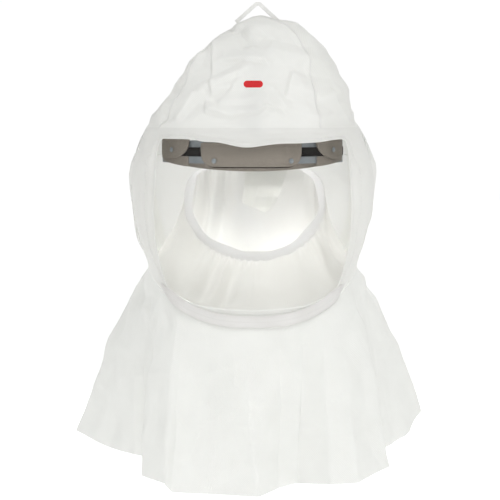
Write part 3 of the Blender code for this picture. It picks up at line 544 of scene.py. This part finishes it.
# The seam rolls' cloth: brighter tones that are a painted highlight along the seams.
SEAM_WHITE_PAINTED_HIGHLIGHT = fabric("seam_fabric_painted_highlight", (0.95, 0.95, 0.94), (0.97, 0.97, 0.96), 0.45, pitch=0.0014)
# The flap's cloth: greyer tones that are painted shade where the flap hangs.
FLAP_PAINTED_SHADE = fabric("flap_fabric_painted_shade", (0.87, 0.87, 0.845), (0.91, 0.91, 0.885), 0.42)
LAVENDER = fabric("knitted_elastic", (0.925, 0.918, 0.940), (0.955, 0.950, 0.968), 0.55,
                  pitch=0.0018)
THREAD = webbing("white_thread", (0.72, 0.72, 0.70), (0.88, 0.88, 0.86), 0.0006)
TAUPE = webbing("taupe_cloth", (0.222, 0.196, 0.171), (0.298, 0.265, 0.232), 0.0009, sheen=0.1)
BLACK = webbing("black_webbing", (0.004, 0.0035, 0.003), (0.016, 0.013, 0.011), 0.0012,
                sheen=0.0, specular=0.05)
GREY = plastic("grey_moulding", (0.190, 0.215, 0.240), (0.280, 0.308, 0.335), 0.36)
DARK = plastic("dark_moulding", (0.030, 0.032, 0.034), (0.055, 0.057, 0.060), 0.45)
RUBBER = plastic("black_rubber", (0.014, 0.014, 0.015), (0.030, 0.030, 0.031), 0.62)
FILM = clear_film("clear_film")


# ---- camera and light -----------------------------------------------------------------------
def build_camera():
    """The photograph's view: almost level, a little above the hood's middle."""
    distance, elevation, lens = 2.30, math.radians(4.0), 153.3
    target = Vector((-0.0085, 0.0, -0.2680))
    camera = bpy.data.objects.new("camera", bpy.data.cameras.new("camera"))
    camera.data.lens = lens
    camera.data.sensor_width = 36.0
    camera.location = target + distance * Vector((0.0, -math.cos(elevation),
                                                  math.sin(elevation)))
    camera.rotation_euler = (math.radians(90.0) - elevation, 0.0, 0.0)
    bpy.context.scene.collection.objects.link(camera)
    bpy.context.scene.camera = camera


def area_light(name, place, target, size, power, spread=180.0):
    lamp = bpy.data.lights.new(name, "AREA")
    lamp.shape = "DISK"
    lamp.size = size
    lamp.energy = power
    lamp.spread = math.radians(spread)
    made = bpy.data.objects.new(name, lamp)
    made.location = place
    made.rotation_euler = (Vector(target) - Vector(place)).to_track_quat("-Z", "Y").to_euler()
    bpy.context.scene.collection.objects.link(made)


def studio_sky():
    """A white room: a bright wall behind, a broad soft glow from high in front."""
    world = bpy.data.worlds.new("studio")
    world.use_nodes = True
    tree = world.node_tree
    place = coordinates(tree, "Generated")
    toward = node(tree, "VectorMath", {0: place, 1: Vector((0.04, -0.64, 0.72)).normalized()},
                  operation="DOT_PRODUCT").outputs["Value"]
    glow = node(tree, "MapRange", {"Value": toward, "From Min": -0.50, "From Max": 1.0,
                                   "To Min": 0.30, "To Max": 0.96})
    behind = node(tree, "MapRange", {"Value": split(tree, place)["Y"], "From Min": 0.55,
                                     "From Max": 0.80})
    wall = node(tree, "Mix", {0: behind.outputs[0], 2: glow.outputs[0], 3: 1.02},
                data_type="FLOAT")
    fill(tree, tree.nodes["Background"], {"Color": (1.0, 1.0, 1.0, 1.0),
                                          "Strength": wall.outputs[0]})
    return world


def pale_floor():
    """A wide floor well below the hem."""
    made, tree, shader, _ = new_material("pale_floor")
    speckle = node(tree, "TexNoise", {"Scale": 6.0}).outputs["Fac"]
    fill(tree, shader, {"Base Color": ramp(tree, speckle, (0.93, 0.93, 0.93), (0.96, 0.96, 0.96)),
                        "Roughness": 0.9, "Emission Color": (1.0, 1.0, 1.0, 1.0),
                        "Emission Strength": 0.30})
    size, height = 9.0, -0.640
    corners = [(-size, -size, height), (size, -size, height), (size, size, height),
               (-size, size, height)]
    add_mesh("floor", corners, [(0, 1, 2, 3)], made)


def build_studio():
    """A pale floor below the hanging hood, a bright sky and three soft lamps."""
    scene = bpy.context.scene
    scene.view_settings.view_transform = "Standard"
    scene.view_settings.look = "None"
    scene.world = studio_sky()
    middle = (0.0, 0.0, -0.26)
    neck_back = (0.005, 0.112, -0.22)
    area_light("key", (0.45, -1.45, 1.3), middle, 0.5, 9.0)
    area_light("below", (0.0, 0.01, -0.61), neck_back, 0.22, 0.15, spread=32.0)
    area_light("back", (0.0, 1.6, -0.10), middle, 0.8, 7.5)
    pale_floor()


# ---- crown ----------------------------------------------------------------------------------
def seam_azimuth(ends, height):
    share = (CROWN_TOP_Z - height) / (CROWN_TOP_Z - BROW_SEAM_Z)
    return ends[0] + (ends[1] - ends[0]) * share


def crown_points(left, right, columns, rows):
    """Grid over the crown between two seams, each a pair of azimuths from top to brow."""
    share = np.linspace(0.0, 1.0, rows) ** 1.45
    height = (CROWN_TOP_Z + (BROW_SEAM_Z - CROWN_TOP_Z) * share)[:, None]
    across = np.linspace(0.0, 1.0, columns)[None, :]
    start, end = seam_azimuth(left, height), seam_azimuth(right, height)
    smooth = hood_surface(start + (end - start) * across, height)
    normals = grid_normals(smooth)
    return smooth + normals * crown_relief(smooth, normals)[..., None]


def build_crown():
    """Four crown panels and the seams between them."""
    back = (CROWN_BACK_SEAM, CROWN_BACK_SEAM)
    far = (360 - CROWN_BACK_SEAM, 360 - CROWN_BACK_SEAM)
    near = (-CROWN_BACK_SEAM, -CROWN_BACK_SEAM)
    panels = (("crown_front", LEFT_SEAM, RIGHT_SEAM, 150, CROWN_WHITE),
              ("crown_right", RIGHT_SEAM, back, 70, WHITE),
              ("crown_left", near, LEFT_SEAM, 56, WHITE),
              ("crown_back", back, far, 120, BACK_WHITE))
    for name, left, right, columns, material in panels:
        points = crown_points(left, right, columns, 150)
        cut_panel(name + "_cloth", points, material, [name + "_panel"], "stretched", "headband")
    for name, ends in (("crown_seam_left", LEFT_SEAM), ("crown_seam_right", RIGHT_SEAM),
                       ("crown_seam_back_right", back), ("crown_seam_back_left", near)):
        points = crown_points((ends[0] - 1.0, ends[1] - 1.0), (ends[0] + 1.0, ends[1] + 1.0),
                              3, 110)
        seam_roll(name, points[4:, 1], grid_normals(points)[4:, 1])


def seam_roll(name, path, normals):
    """A narrow rolled seam lying on the cloth, in a brighter tone that is a painted highlight."""
    radius, lift = 0.0005, 0.0004
    side = unit(np.cross(tangents(path), normals))
    angles = full_turn(8)
    section = np.stack((1.35 * radius * np.cos(angles), 0.75 * radius * np.sin(angles)), axis=-1)
    piece = swept(name, path + normals * lift, section, SEAM_WHITE_PAINTED_HIGHLIGHT, side, normals)
    stand_for(piece)


# ---- hood body ------------------------------------------------------------------------------
def neck_seam(azimuth):
    forward = np.maximum(0.0, np.cos(np.radians(azimuth)))
    return NECK_SEAM_Z - CHIN_DROP * forward**2


def body_relief(points):
    z = points[..., 2]
    height = 0.0060 * crumple(points, 21, 7, (0.040, 0.100)) + 0.0024 * crumple(points, 22)
    return height * ease(-z, 0.135, 0.150) * ease(z, -0.284, -0.272)


def body_points(start, end, columns, rows=80):
    azimuth = np.linspace(start, end, columns)[None, :]
    share = np.linspace(0.0, 1.0, rows)[:, None]
    height = BROW_SEAM_Z + (neck_seam(azimuth) - BROW_SEAM_Z) * share
    smooth = hood_surface(azimuth, height)
    normals = grid_normals(smooth)
    return smooth + normals * body_relief(smooth)[..., None]


def build_hood_sides():
    """Side and back panels between the brow seam and the neck seam."""
    panels = (("hood_right", SURROUND_EDGE, HOOD_SIDE_EDGE, 46),
              ("hood_left", -HOOD_SIDE_EDGE, -SURROUND_EDGE, 46),
              ("hood_back", HOOD_SIDE_EDGE, 360 - HOOD_SIDE_EDGE, 96))
    for name, start, end, columns in panels:
        points = body_points(start, end, columns)
        material = BACK_WHITE if name == "hood_back" else WHITE
        cut_panel(name + "_cloth", points, material, [name + "_panel"], "stretched", "headband")


def brow_sag(loop):
    """The cloth above the window sags in a soft wave, lowest near the middle."""
    x, z = loop[:, 0], loop[:, 1]
    wave = (0.0085 * np.exp(-((x + 0.006) / 0.030) ** 2) + 0.0045 * ease(x, 0.0, 0.05)
            + 0.0022 * np.exp(-((x + 0.050) / 0.012) ** 2) - 0.0005
            ) * ease(0.100 - np.abs(x), 0.0, 0.035)
    return np.stack((x, z - wave * ease(z, -0.170, -0.150)), axis=-1)


def window_loop(grow=0.0, count=220):
    """The visor window as a closed loop of x and z, evenly spaced."""
    right = WINDOW_OUTLINE
    keys = np.arange(len(right), dtype=float)
    fine = smooth_table(np.column_stack((keys, right)), np.linspace(0, len(right) - 1, 200))
    loop = np.concatenate((fine, (fine * (-1, 1))[-2:0:-1]))
    closed = np.concatenate((loop, loop[:1]))
    run = arc_length(closed)
    at = full_turn(count, run[-1])
    loop = np.stack([np.interp(at, run, closed[:, k]) for k in range(2)], axis=-1)
    along = unit(np.roll(loop, -1, axis=0) - np.roll(loop, 1, axis=0))
    outward = np.stack((-along[:, 1], along[:, 0]), axis=-1)
    return loop + outward * grow


def front_azimuth(x, z):
    """Azimuth of the point of the hood's front with that x and height."""
    half_width, _, _, centre_x, roundness = np.moveaxis(smooth_table(HOOD_SECTIONS[::-1], z),
                                                        -1, 0)
    share = np.clip((x - centre_x) / half_width, -0.9999, 0.9999)
    return np.degrees(np.arcsin(power_of(share, roundness / 2)))


def rim_boundary(inner_azimuth, inner_height):
    """Where the line from the window's middle through a point meets the surround's edge."""
    rise = inner_height - WINDOW_MIDDLE_Z
    low, high = np.ones(len(inner_azimuth)), np.full(len(inner_azimuth), 6.0)
    for _ in range(40):
        reach = (low + high) / 2
        azimuth, height = inner_azimuth * reach, WINDOW_MIDDLE_Z + rise * reach
        outside = ((np.abs(azimuth) > SURROUND_EDGE) | (height > BROW_SEAM_Z)
                   | (height < neck_seam(azimuth)))
        high = np.where(outside, reach, high)
        low = np.where(outside, low, reach)
    return inner_azimuth * low, WINDOW_MIDDLE_Z + rise * low


def build_rim():
    """The fabric surround of the visor, rolled at the window and stitched."""
    loop = brow_sag(window_loop())
    azimuth, height = front_azimuth(loop[:, 0], loop[:, 1]), loop[:, 1]
    far_azimuth, far_height = rim_boundary(azimuth, height)
    rows = 26
    share = (np.linspace(0.0, 1.0, rows) ** 1.3)[:, None]
    smooth = hood_surface(azimuth + (far_azimuth - azimuth) * share,
                          height + (far_height - height) * share)
    normals = -grid_normals(smooth, wrap=True)
    facing = unit(smooth - smooth.mean(axis=(0, 1)))
    normals *= np.sign((normals * facing).sum(axis=-1, keepdims=True))
    from_edge = np.linalg.norm(smooth - smooth[:1], axis=-1)
    roll = 0.0010 * np.exp(-((from_edge - 0.0014) / 0.0012) ** 2)
    groove = -0.0005 * np.exp(-((from_edge - 0.0055) / 0.0008) ** 2)
    reach = from_edge[-1:]
    puff = (0.0012 * ease(from_edge, 0.006, 0.012) * ease(1 - share, 0.0, 0.6)
            * ease(reach, 0.01, 0.03))
    wrinkle = 0.0046 * crumple(smooth, 31, 7, (0.020, 0.060)) * ease(from_edge, 0.006, 0.016)
    points = smooth + normals * (roll + groove + puff + wrinkle * ease(1 - share, 0.0, 0.4)
                                 )[..., None]
    mean_radius = 0.125
    around = np.radians(azimuth + (far_azimuth - azimuth) * share) * mean_radius
    uvs = np.stack((around, smooth[..., 2]), axis=-1)
    # The surround takes the darker cloth of painted shade.
    cut_panel("visor_rim_cloth", points[:, ::-1], RIM_WHITE_PAINTED_SHADE, ["visor_surround"], "stretched",
              "visor", wrap=True, uvs=uvs[:, ::-1].reshape(-1, 2))

    line = int(np.searchsorted(from_edge.mean(axis=1), 0.0075))
    closed = np.concatenate((points[line], points[line, :1]))
    closed_normals = np.concatenate((normals[line], normals[line, :1]))
    stitches("rim_stitches", closed + closed_normals * 0.0003, closed_normals, 0.00028)


def build_visor():
    """The clear sheet, with its edge under the rim."""
    loop = window_loop(0.006, 160)
    middle = np.array((0.0, WINDOW_MIDDLE_Z))
    rings = np.linspace(1.0, 0.02, 22)[:, None, None]
    flat = middle + (loop - middle)[None] * rings
    azimuth = front_azimuth(flat[..., 0], flat[..., 1])
    points = hood_surface(azimuth, flat[..., 1], inset=0.0026)
    piece = cloth_grid("visor_film", points, FILM, wrap=True, thickness=0.0008)
    face_outward(piece, hole=(points[-1, 0], 0.02))
    stand_for(piece, nodes=["visor"])


def build_lip():
    """The rolled lip under the visor, where the cape is sewn on."""
    azimuth = np.linspace(-60.0, 60.0, 150)
    height = neck_seam(azimuth) + 0.0050
    fade = ease(60.0 - np.abs(azimuth), 0.0, 20.0)
    foot = np.stack([hood_surface(a, h, inset=i) for a, h, i in
                     zip(azimuth, height, -0.0020 * fade + 0.0010 * (1 - fade))])
    strip = np.stack((hood_surface(azimuth, height + 0.002), foot,
                      hood_surface(azimuth, height - 0.002)))
    normals = grid_normals(strip)[1]
    foot = foot + normals * (0.0012 * crumple(foot, 41, 5, (0.02, 0.05)))[:, None]
    side = unit(np.cross(tangents(foot), normals))
    angles = full_turn(18)
    section = np.stack((0.0062 * np.cos(angles), 0.0024 * np.sin(angles)), axis=-1)
    grown = (0.05 + 0.95 * fade)[:, None]
    piece = swept("chin_lip_roll", foot, section, LIP_WHITE, side * grown, normals * grown)
    stand_for(piece, nodes=["chin_lip"])
    middle = np.abs(azimuth) < 46.0
    line, normals = (foot + normals * 0.0024)[middle], normals[middle]
    stitches("lip_stitches", line, normals, 0.00022)


# ---- cape -----------------------------------------------------------------------------------
def hem_points(azimuth):
    """The hem: straight between fold lines, with each fold a little rounded."""
    closed = np.vstack((HEM_FOLDS, HEM_FOLDS[0] + (360, 0, 0, 0)))
    keys = closed[0, 0] + np.mod(azimuth - closed[0, 0], 360.0)
    total = np.zeros((len(azimuth), 3))
    for nudge in (-0.5, 0.0, 0.5):
        turned = closed[0, 0] + np.mod(keys + nudge - closed[0, 0], 360.0)
        total += np.stack([np.interp(turned, closed[:, 0], closed[:, k]) for k in (1, 2, 3)],
                          axis=-1)
    return total / 3 - (HOOK_OFFSET, 0.0, 0.0)


def build_cape():
    """The flared cape: straight folds that fan out from the neck seam to the hem."""
    columns, rows = 720, 96
    azimuth = full_turn(columns, 360.0) - 180.0
    top = hood_surface(azimuth, neck_seam(azimuth), inset=0.0004)
    foot = hem_points(azimuth)
    share = np.linspace(0.004, 1.0, rows)[:, None, None]
    swing = share ** 0.92
    points = np.concatenate((top[None, :, :2] + (foot[None, :, :2] - top[None, :, :2]) * swing,
                             top[None, :, 2:] + (foot[None, :, 2:] - top[None, :, 2:]) * share),
                            axis=-1)
    normals = grid_normals(points, wrap=True)
    bulge = 0.005 * np.sin(math.pi * np.clip(share[..., 0] * 1.1, 0, 1)) ** 2
    grown = ease(share[..., 0], 0.0, 0.16)
    waist = np.exp(-(((np.abs(azimuth)[None, :] - 74.0) / 24.0) ** 2 + (share[..., 0] / 0.20) ** 2))
    relief = bulge + grown * (0.0060 * crumple(points, 51, 8, (0.050, 0.120))
                              + 0.0024 * crumple(points, 52, 8, (0.018, 0.045)))
    relief = relief + 0.030 * waist * grown * crumple(points, 53, 7, (0.022, 0.050))
    points = points + normals * relief[..., None]
    nodes = ["cape_front", "cape_left_side", "cape_right_side", "cape_back"]
    # The cape takes the darker cloth of painted shade.
    cut_panel("cape_cloth", points, CAPE_WHITE_PAINTED_SHADE, nodes, "hung", "hood_back_cloth", wrap=True)


# ---- neck seal ------------------------------------------------------------------------------
def neck_ring(azimuth, grow=0.0, lift=0.0):
    """Points of the neck opening, a tilted egg shape that is lowest at the front."""
    angle = np.radians(azimuth)
    power = np.where(np.cos(angle) > 0, 1.0, 2.0 / NECK_BACK_ROUNDNESS)
    length = np.where(np.cos(angle) > 0, NECK_FRONT_LENGTH, NECK_BACK_LENGTH)
    across = (NECK_HALF_WIDTH + grow) * power_of(np.sin(angle), power)
    along = -(length + grow) * power_of(np.cos(angle), power)
    c, s = math.cos(NECK_TILT), math.sin(NECK_TILT)
    flat = np.stack(np.broadcast_arrays(across - HOOK_OFFSET, along * c - lift * s,
                                        along * s + lift * c), axis=-1)
    return flat + NECK_CENTRE


def even_azimuths(count):
    """Azimuths that divide the neck opening's rim evenly."""
    fine = np.linspace(0.0, 360.0, 4001)
    run = arc_length(neck_ring(fine))
    return np.interp(full_turn(count, run[-1]), run, fine)


def back_azimuth(x):
    """Azimuth of the point of the opening's back edge with that x."""
    share = (x - NECK_CENTRE[0]) / NECK_HALF_WIDTH
    return 180.0 - np.degrees(np.arcsin(power_of(share, NECK_BACK_ROUNDNESS / 2)))


def build_neck_seal():
    """The funnel of cloth that closes round the neck, gathered into its elastic band."""
    columns, rows = 480, 48
    azimuth = even_azimuths(columns)
    forward = np.cos(np.radians(azimuth))
    root_height = -0.282 - 0.040 * np.maximum(0.0, forward)**2 + 0.004 * np.maximum(0, -forward)
    root = hood_surface(azimuth, root_height, inset=0.0025)
    inner = neck_ring(azimuth, grow=0.0080, lift=-0.0032)
    share = np.linspace(0.0, 1.0, rows)[:, None, None]
    points = inner[None] + (root - inner)[None] * share
    normals = grid_normals(points, wrap=True)
    turn = np.radians(azimuth)[None, :]
    warped = turn + 0.16 * np.sin(3 * turn + 1.0) + 0.10 * np.sin(5 * turn + 2.0)
    s = share[..., 0]
    broad = 0.0048 * np.sin(13 * warped) * np.sin(math.pi * np.clip(s, 0, 1)) ** 0.8
    gathers = 0.0006 * np.sin(46 * warped + 0.8 * np.sin(7 * turn)) * np.exp(-s / 0.22)
    relief = broad + gathers + 0.0030 * crumple(points, 61, 6, (0.03, 0.08)) * ease(s, 0, 0.2)
    relief = relief * ease(1 - s, 0.0, 0.12) - 0.010 * np.sin(math.pi * s)
    cut_panel("neck_seal_cloth", points + normals * relief[..., None], SEAL_WHITE,
              ["neck_seal"], "gathered", "neck_seal_elastic", wrap=True)

    across = np.linspace(0.0, 1.0, 9)[:, None]
    angle = np.radians(azimuth)[None, :]
    uneven = 0.0014 * np.sin(5 * angle + 0.6) + 0.0009 * np.sin(9 * angle + 2.1)
    puffed = 0.0008 * np.sin(math.pi * across)
    band = neck_ring(azimuth[None, :], grow=0.0088 * across + uneven * (1 - across),
                     lift=0.0015 - 0.0050 * across + puffed)
    cut_panel("neck_seal_elastic", band, LAVENDER, ["neck_seal_band"], "stretched",
              "neck_seal_cloth", slot="elastic_band", wrap=True)


def build_inlet_flap():
    """The flap that hangs from the back of the neck opening, with a folded left edge."""
    x = np.linspace(FLAP_LEFT_X, FLAP_RIGHT_X, 60)
    top = neck_ring(back_azimuth(x), grow=-0.0022, lift=0.0012)
    run = np.linspace(0.0, 1.0, 60)
    share = np.linspace(0.0, 1.0, 60)[:, None]
    points = np.empty((60, 60, 3))
    points[..., 0] = top[:, 0] - (0.005 + 0.008 * run) * share
    points[..., 1] = top[:, 1] - 0.0040 * np.sin(math.pi * share) - 0.004 * share * np.exp(-run / 0.1)
    low = np.interp(run, (0.0, 0.65, 0.86, 1.0), (-0.2205, -0.2315, -0.2270, -0.2200))
    points[..., 2] = top[:, 2] + (low - top[:, 2]) * share
    points = points + (0.0, 1.0, 0.0) * (0.0050 * crumple(points, 71, 6, (0.02, 0.05)))[..., None]
    # The flap takes the greyer cloth of painted shade.
    cut_panel("inlet_flap_cloth", points, FLAP_PAINTED_SHADE, ["inlet_flap"], "hung",
              "neck_seal_elastic")


# ---- loop -----------------------------------------------------------------------------------
def build_loop():
    """The hanging tape, folded over at its top and sewn down at both feet."""
    half_width = 0.0021
    top = np.array((HOOK_OFFSET, -half_width))
    left, right = np.array((-0.0178, -0.0232)), np.array((0.0270, -0.0215))
    share = np.linspace(0, 0.93, 14)[:, None]
    flat = np.concatenate((left + (top - left) * share, (right + (top - right) * share)[::-1]))
    centre = np.stack((flat[:, 0] - HOOK_OFFSET, 0.0006 * np.sin(np.arange(len(flat))),
                       flat[:, 1]), axis=-1)
    side = unit(np.cross(tangents(centre), (0.0, -1.0, 0.0)))
    grid = np.stack([centre + side * half_width * t for t in (-1, -0.8, 0, 0.8, 1)])
    piece = cloth_grid("hang_tape", grid, TAPE_WHITE, thickness=0.0010, offset=0.0)
    stand_for(piece, nodes=["hang_loop"])


def build_crown_patch():
    """The reinforcing patch at the top of the crown."""
    rings = np.linspace(0.02, 1.0, 8)[:, None]
    edge = hood_surface(full_turn(48, 360.0)[None, :], -0.0195)
    centre = edge.mean(axis=1, keepdims=True)
    points = centre + (edge - centre) * rings[..., None]
    points[..., 2] = -0.0158 - 0.0042 * rings**2
    piece = cloth_grid("crown_patch_cloth", points, WHITE, wrap=True)
    face_outward(piece, hole=(centre[0, 0], 0.006))
    stand_for(piece, nodes=["crown_patch"])


# ---- head suspension ------------------------------------------------------------------------
def band_xy(turn, out):
    angle = np.radians(turn)
    return np.stack((-(BAND_HALF_WIDTH + out) * np.cos(angle) - HOOK_OFFSET,
                     BAND_CENTRE_Y - (BAND_FRONT_DEPTH + out) * np.sin(angle)), axis=-1)


def swept_up(bottom, radius=1.0, rise=0.0, low_turn=None, high_turn=None):
    """A level lower edge that sweeps up in a quarter ellipse at each end that is given."""
    def edge(turn):
        past = np.zeros(np.shape(turn))
        if low_turn is not None:
            past = np.maximum(past, (low_turn + radius - turn) / radius)
        if high_turn is not None:
            past = np.maximum(past, (turn - high_turn + radius) / radius)
        return bottom + rise * (1 - np.sqrt(1 - np.clip(past, 0.0, 1.0) ** 2))
    return edge


def liner_edge(turn):
    """The liner's lower edge, deepest at the middle of the brow."""
    return -0.1690 - 0.0108 * np.sin(np.radians(turn)) ** 1.3


def band_strip(name, turns, out, thickness, top, bottom, material):
    """A strip along the headband: rounded edges, a sewn channel and a slight crown."""
    count, ring = 90, 40
    turn = np.linspace(*turns, count)
    angles = full_turn(ring)
    width_share = power_of(np.cos(angles), 0.30)
    depth_share = power_of(np.sin(angles), 0.55)
    ends = np.minimum(turn - turns[0], turns[1] - turn) / 3.0
    close = np.sqrt(np.clip(1 - (1 - np.clip(ends, 0, 1)) ** 2, 0.0004, 1))
    outer, inner = band_xy(turn, out), band_xy(turn, out - 0.01)
    outward = unit(outer - inner)
    middle = outer - outward * thickness / 2
    half, centre = (top - bottom(turn)) / 2, (top + bottom(turn)) / 2
    channel = 1 - 0.30 * np.exp(-((np.abs(width_share)[None, :] - 0.80) / 0.07) ** 2)
    depth = thickness / 2 * depth_share[None, :] * channel * (0.45 + 0.55 * close[:, None])
    high = centre[:, None] + half[:, None] * width_share[None, :] * (0.80 + 0.20 * close[:, None])
    flat = middle[:, None, :] + outward[:, None, :] * depth[..., None]
    vertices = np.concatenate((flat, high[..., None]), axis=-1)
    uvs = np.stack(np.broadcast_arrays(arc_length(middle)[:, None], high), axis=-1)
    piece = add_mesh(name, vertices.reshape(-1, 3), tube_faces(count, ring), material,
                     uvs.reshape(-1, 2))
    face_outward(piece)
    return piece


def band_pad(name, turns, out, thickness, top, bottom, nodes=()):
    piece = band_strip(name, turns, out, thickness, top, bottom, TAUPE)
    stand_for(piece, nodes=nodes)


def build_pads():
    """The taupe pads, the liner behind them, the black webbing between the two and a black strip
    behind the brow cushion that paints the shadow along its edge.
    """
    band_pad("brow_cushion", (57.5, 120.5), PAD_OUT, 0.0030, -0.1500,
             swept_up(-0.1752, 9.0, 0.0130, 57.5, 120.5), ["brow_pad"])
    band_pad("temple_cushion_left", (17.0, 48.5), PAD_OUT, 0.0030, -0.1470,
             swept_up(-0.1675, 17.0, 0.0190, high_turn=48.5), ["temple_pad_left"])
    band_pad("temple_cushion_right", (131.5, 161.0), PAD_OUT, 0.0030, -0.1470,
             swept_up(-0.1675, 17.0, 0.0190, low_turn=131.5), ["temple_pad_right"])
    band_pad("liner_cushion", (12.0, 168.0), -0.0040, 0.0040, -0.1508, liner_edge,
             ["sweatband_liner"])
    for name, turns in (("temple_liner_left", (13.0, 46.5)), ("temple_liner_right", (133.5, 167.0)),
                        ("brow_liner", (60.0, 118.0))):
        band_pad(name, turns, 0.0011, 0.0009, -0.1600, lambda turn: liner_edge(turn) + 0.0006)
    # A black strip a little larger than the brow cushion, just behind it: painted shadow along the
    # cushion's edges.
    painted_shadow_strip = band_strip("brow_painted_shadow", (57.9, 120.1), PAD_OUT - 0.0028, 0.0010, -0.1510,
                         swept_up(-0.1762, 9.0, 0.0130, 57.9, 120.1), BLACK)
    stand_for(painted_shadow_strip)
    strap = band_strip("size_webbing", (8.0, 172.0), 0.0013, 0.0010, -0.1553,
                       swept_up(-0.1647), BLACK)
    stand_for(strap, nodes=["size_strap"])


def build_tabs_and_duct():
    """The tabs that tie the headband to the hood's sides, and the flat duct over the crown."""
    for word in ("left", "right"):
        low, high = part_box("hood_tab_" + word)
        x = np.linspace(low.x, high.x, 20)[None, :]
        y = np.linspace(low.y, high.y, 14)[:, None]
        sag = -0.0006 * np.sin(math.pi * (x - low.x) / (high.x - low.x))
        height = (low.z + high.z) / 2 + sag + 0.0003 * np.sin(500 * y)
        points = np.stack(np.broadcast_arrays(x, y, height), axis=-1)
        piece = cloth_grid("hood_tab_cloth_" + word, points, WHITE)
        stand_for(piece, nodes=["hood_tab_" + word])

    keys = np.linspace(0.0, len(DUCT_PATH) - 1, 150)
    centre = smooth_table(np.column_stack((np.arange(len(DUCT_PATH)), DUCT_PATH)), keys)
    along = tangents(centre)
    out = np.stack((-along[:, 1], along[:, 0]), axis=-1)
    angle = full_turn(96)[None, :]
    x = DUCT_HALF_WIDTH * power_of(np.cos(angle), 0.6)
    lift = DUCT_HALF_HEIGHT * power_of(np.sin(angle), 0.6)
    points = np.stack((np.broadcast_to(x - HOOK_OFFSET, (150, 96)),
                       centre[:, :1] + out[:, :1] * lift, centre[:, 1:] + out[:, 1:] * lift),
                      axis=-1)
    crinkle = 0.0016 * crumple(points, 81, 6, (0.015, 0.040))
    points = points - grid_normals(points, wrap=True) * np.abs(crinkle)[..., None]
    cut_panel("air_duct_cloth", points, BACK_WHITE, ["air_duct"], "stretched", "inlet_plenum",
              wrap=True)


def soften(node_name, name, body):
    """A pad from its CAD block: rounded by subdivision and smoothing, with a fine grain."""
    source = frame["nodes"][node_name]
    bm = bmesh.new()
    bm.from_mesh(source.data)
    bmesh.ops.remove_doubles(bm, verts=bm.verts, dist=1e-6)
    bmesh.ops.subdivide_edges(bm, edges=bm.edges, cuts=2, use_grid_fill=True)
    for _ in range(3):
        bmesh.ops.smooth_vert(bm, verts=bm.verts, factor=0.4, use_axis_x=True, use_axis_y=True,
                              use_axis_z=True)
    bmesh.ops.recalc_face_normals(bm, faces=bm.faces)
    vertices = [v.co.copy() for v in bm.verts]
    faces = [tuple(v.index for v in f.verts) for f in bm.faces]
    bm.free()
    uvs = [(v.x + v.y * 0.5, v.z + v.y * 0.5) for v in vertices]
    piece = add_mesh(name, vertices, faces, TAUPE, uvs)
    stand_for(piece, body, [node_name])


def finish_cad_nodes():
    """Better materials on the moulded and woven CAD parts that stay."""
    slots = {"grey_plastic": GREY, "dark_plastic": DARK, "black_webbing": BLACK,
             "rubber_seal": RUBBER, "taupe_pad": TAUPE, "white_fabric": TAPE_WHITE,
             "elastic_band": LAVENDER, "clear_sheet": FILM}
    by_node = {part["node"]: part["material_slot"] for part in frame["record"]["subparts"]}
    for name, piece in frame["nodes"].items():
        material = slots[by_node[name]]
        for slot in piece.material_slots:
            slot.material = material


build_camera()
build_studio()
finish_cad_nodes()
build_crown()
build_hood_sides()
build_rim()
build_visor()
build_lip()
build_cape()
build_neck_seal()
build_inlet_flap()
build_loop()
build_crown_patch()
build_pads()
build_tabs_and_duct()
soften("nape_pad", "nape_cushion", "nape")
soften("crown_pad", "crown_cushion", "crown_cradle")
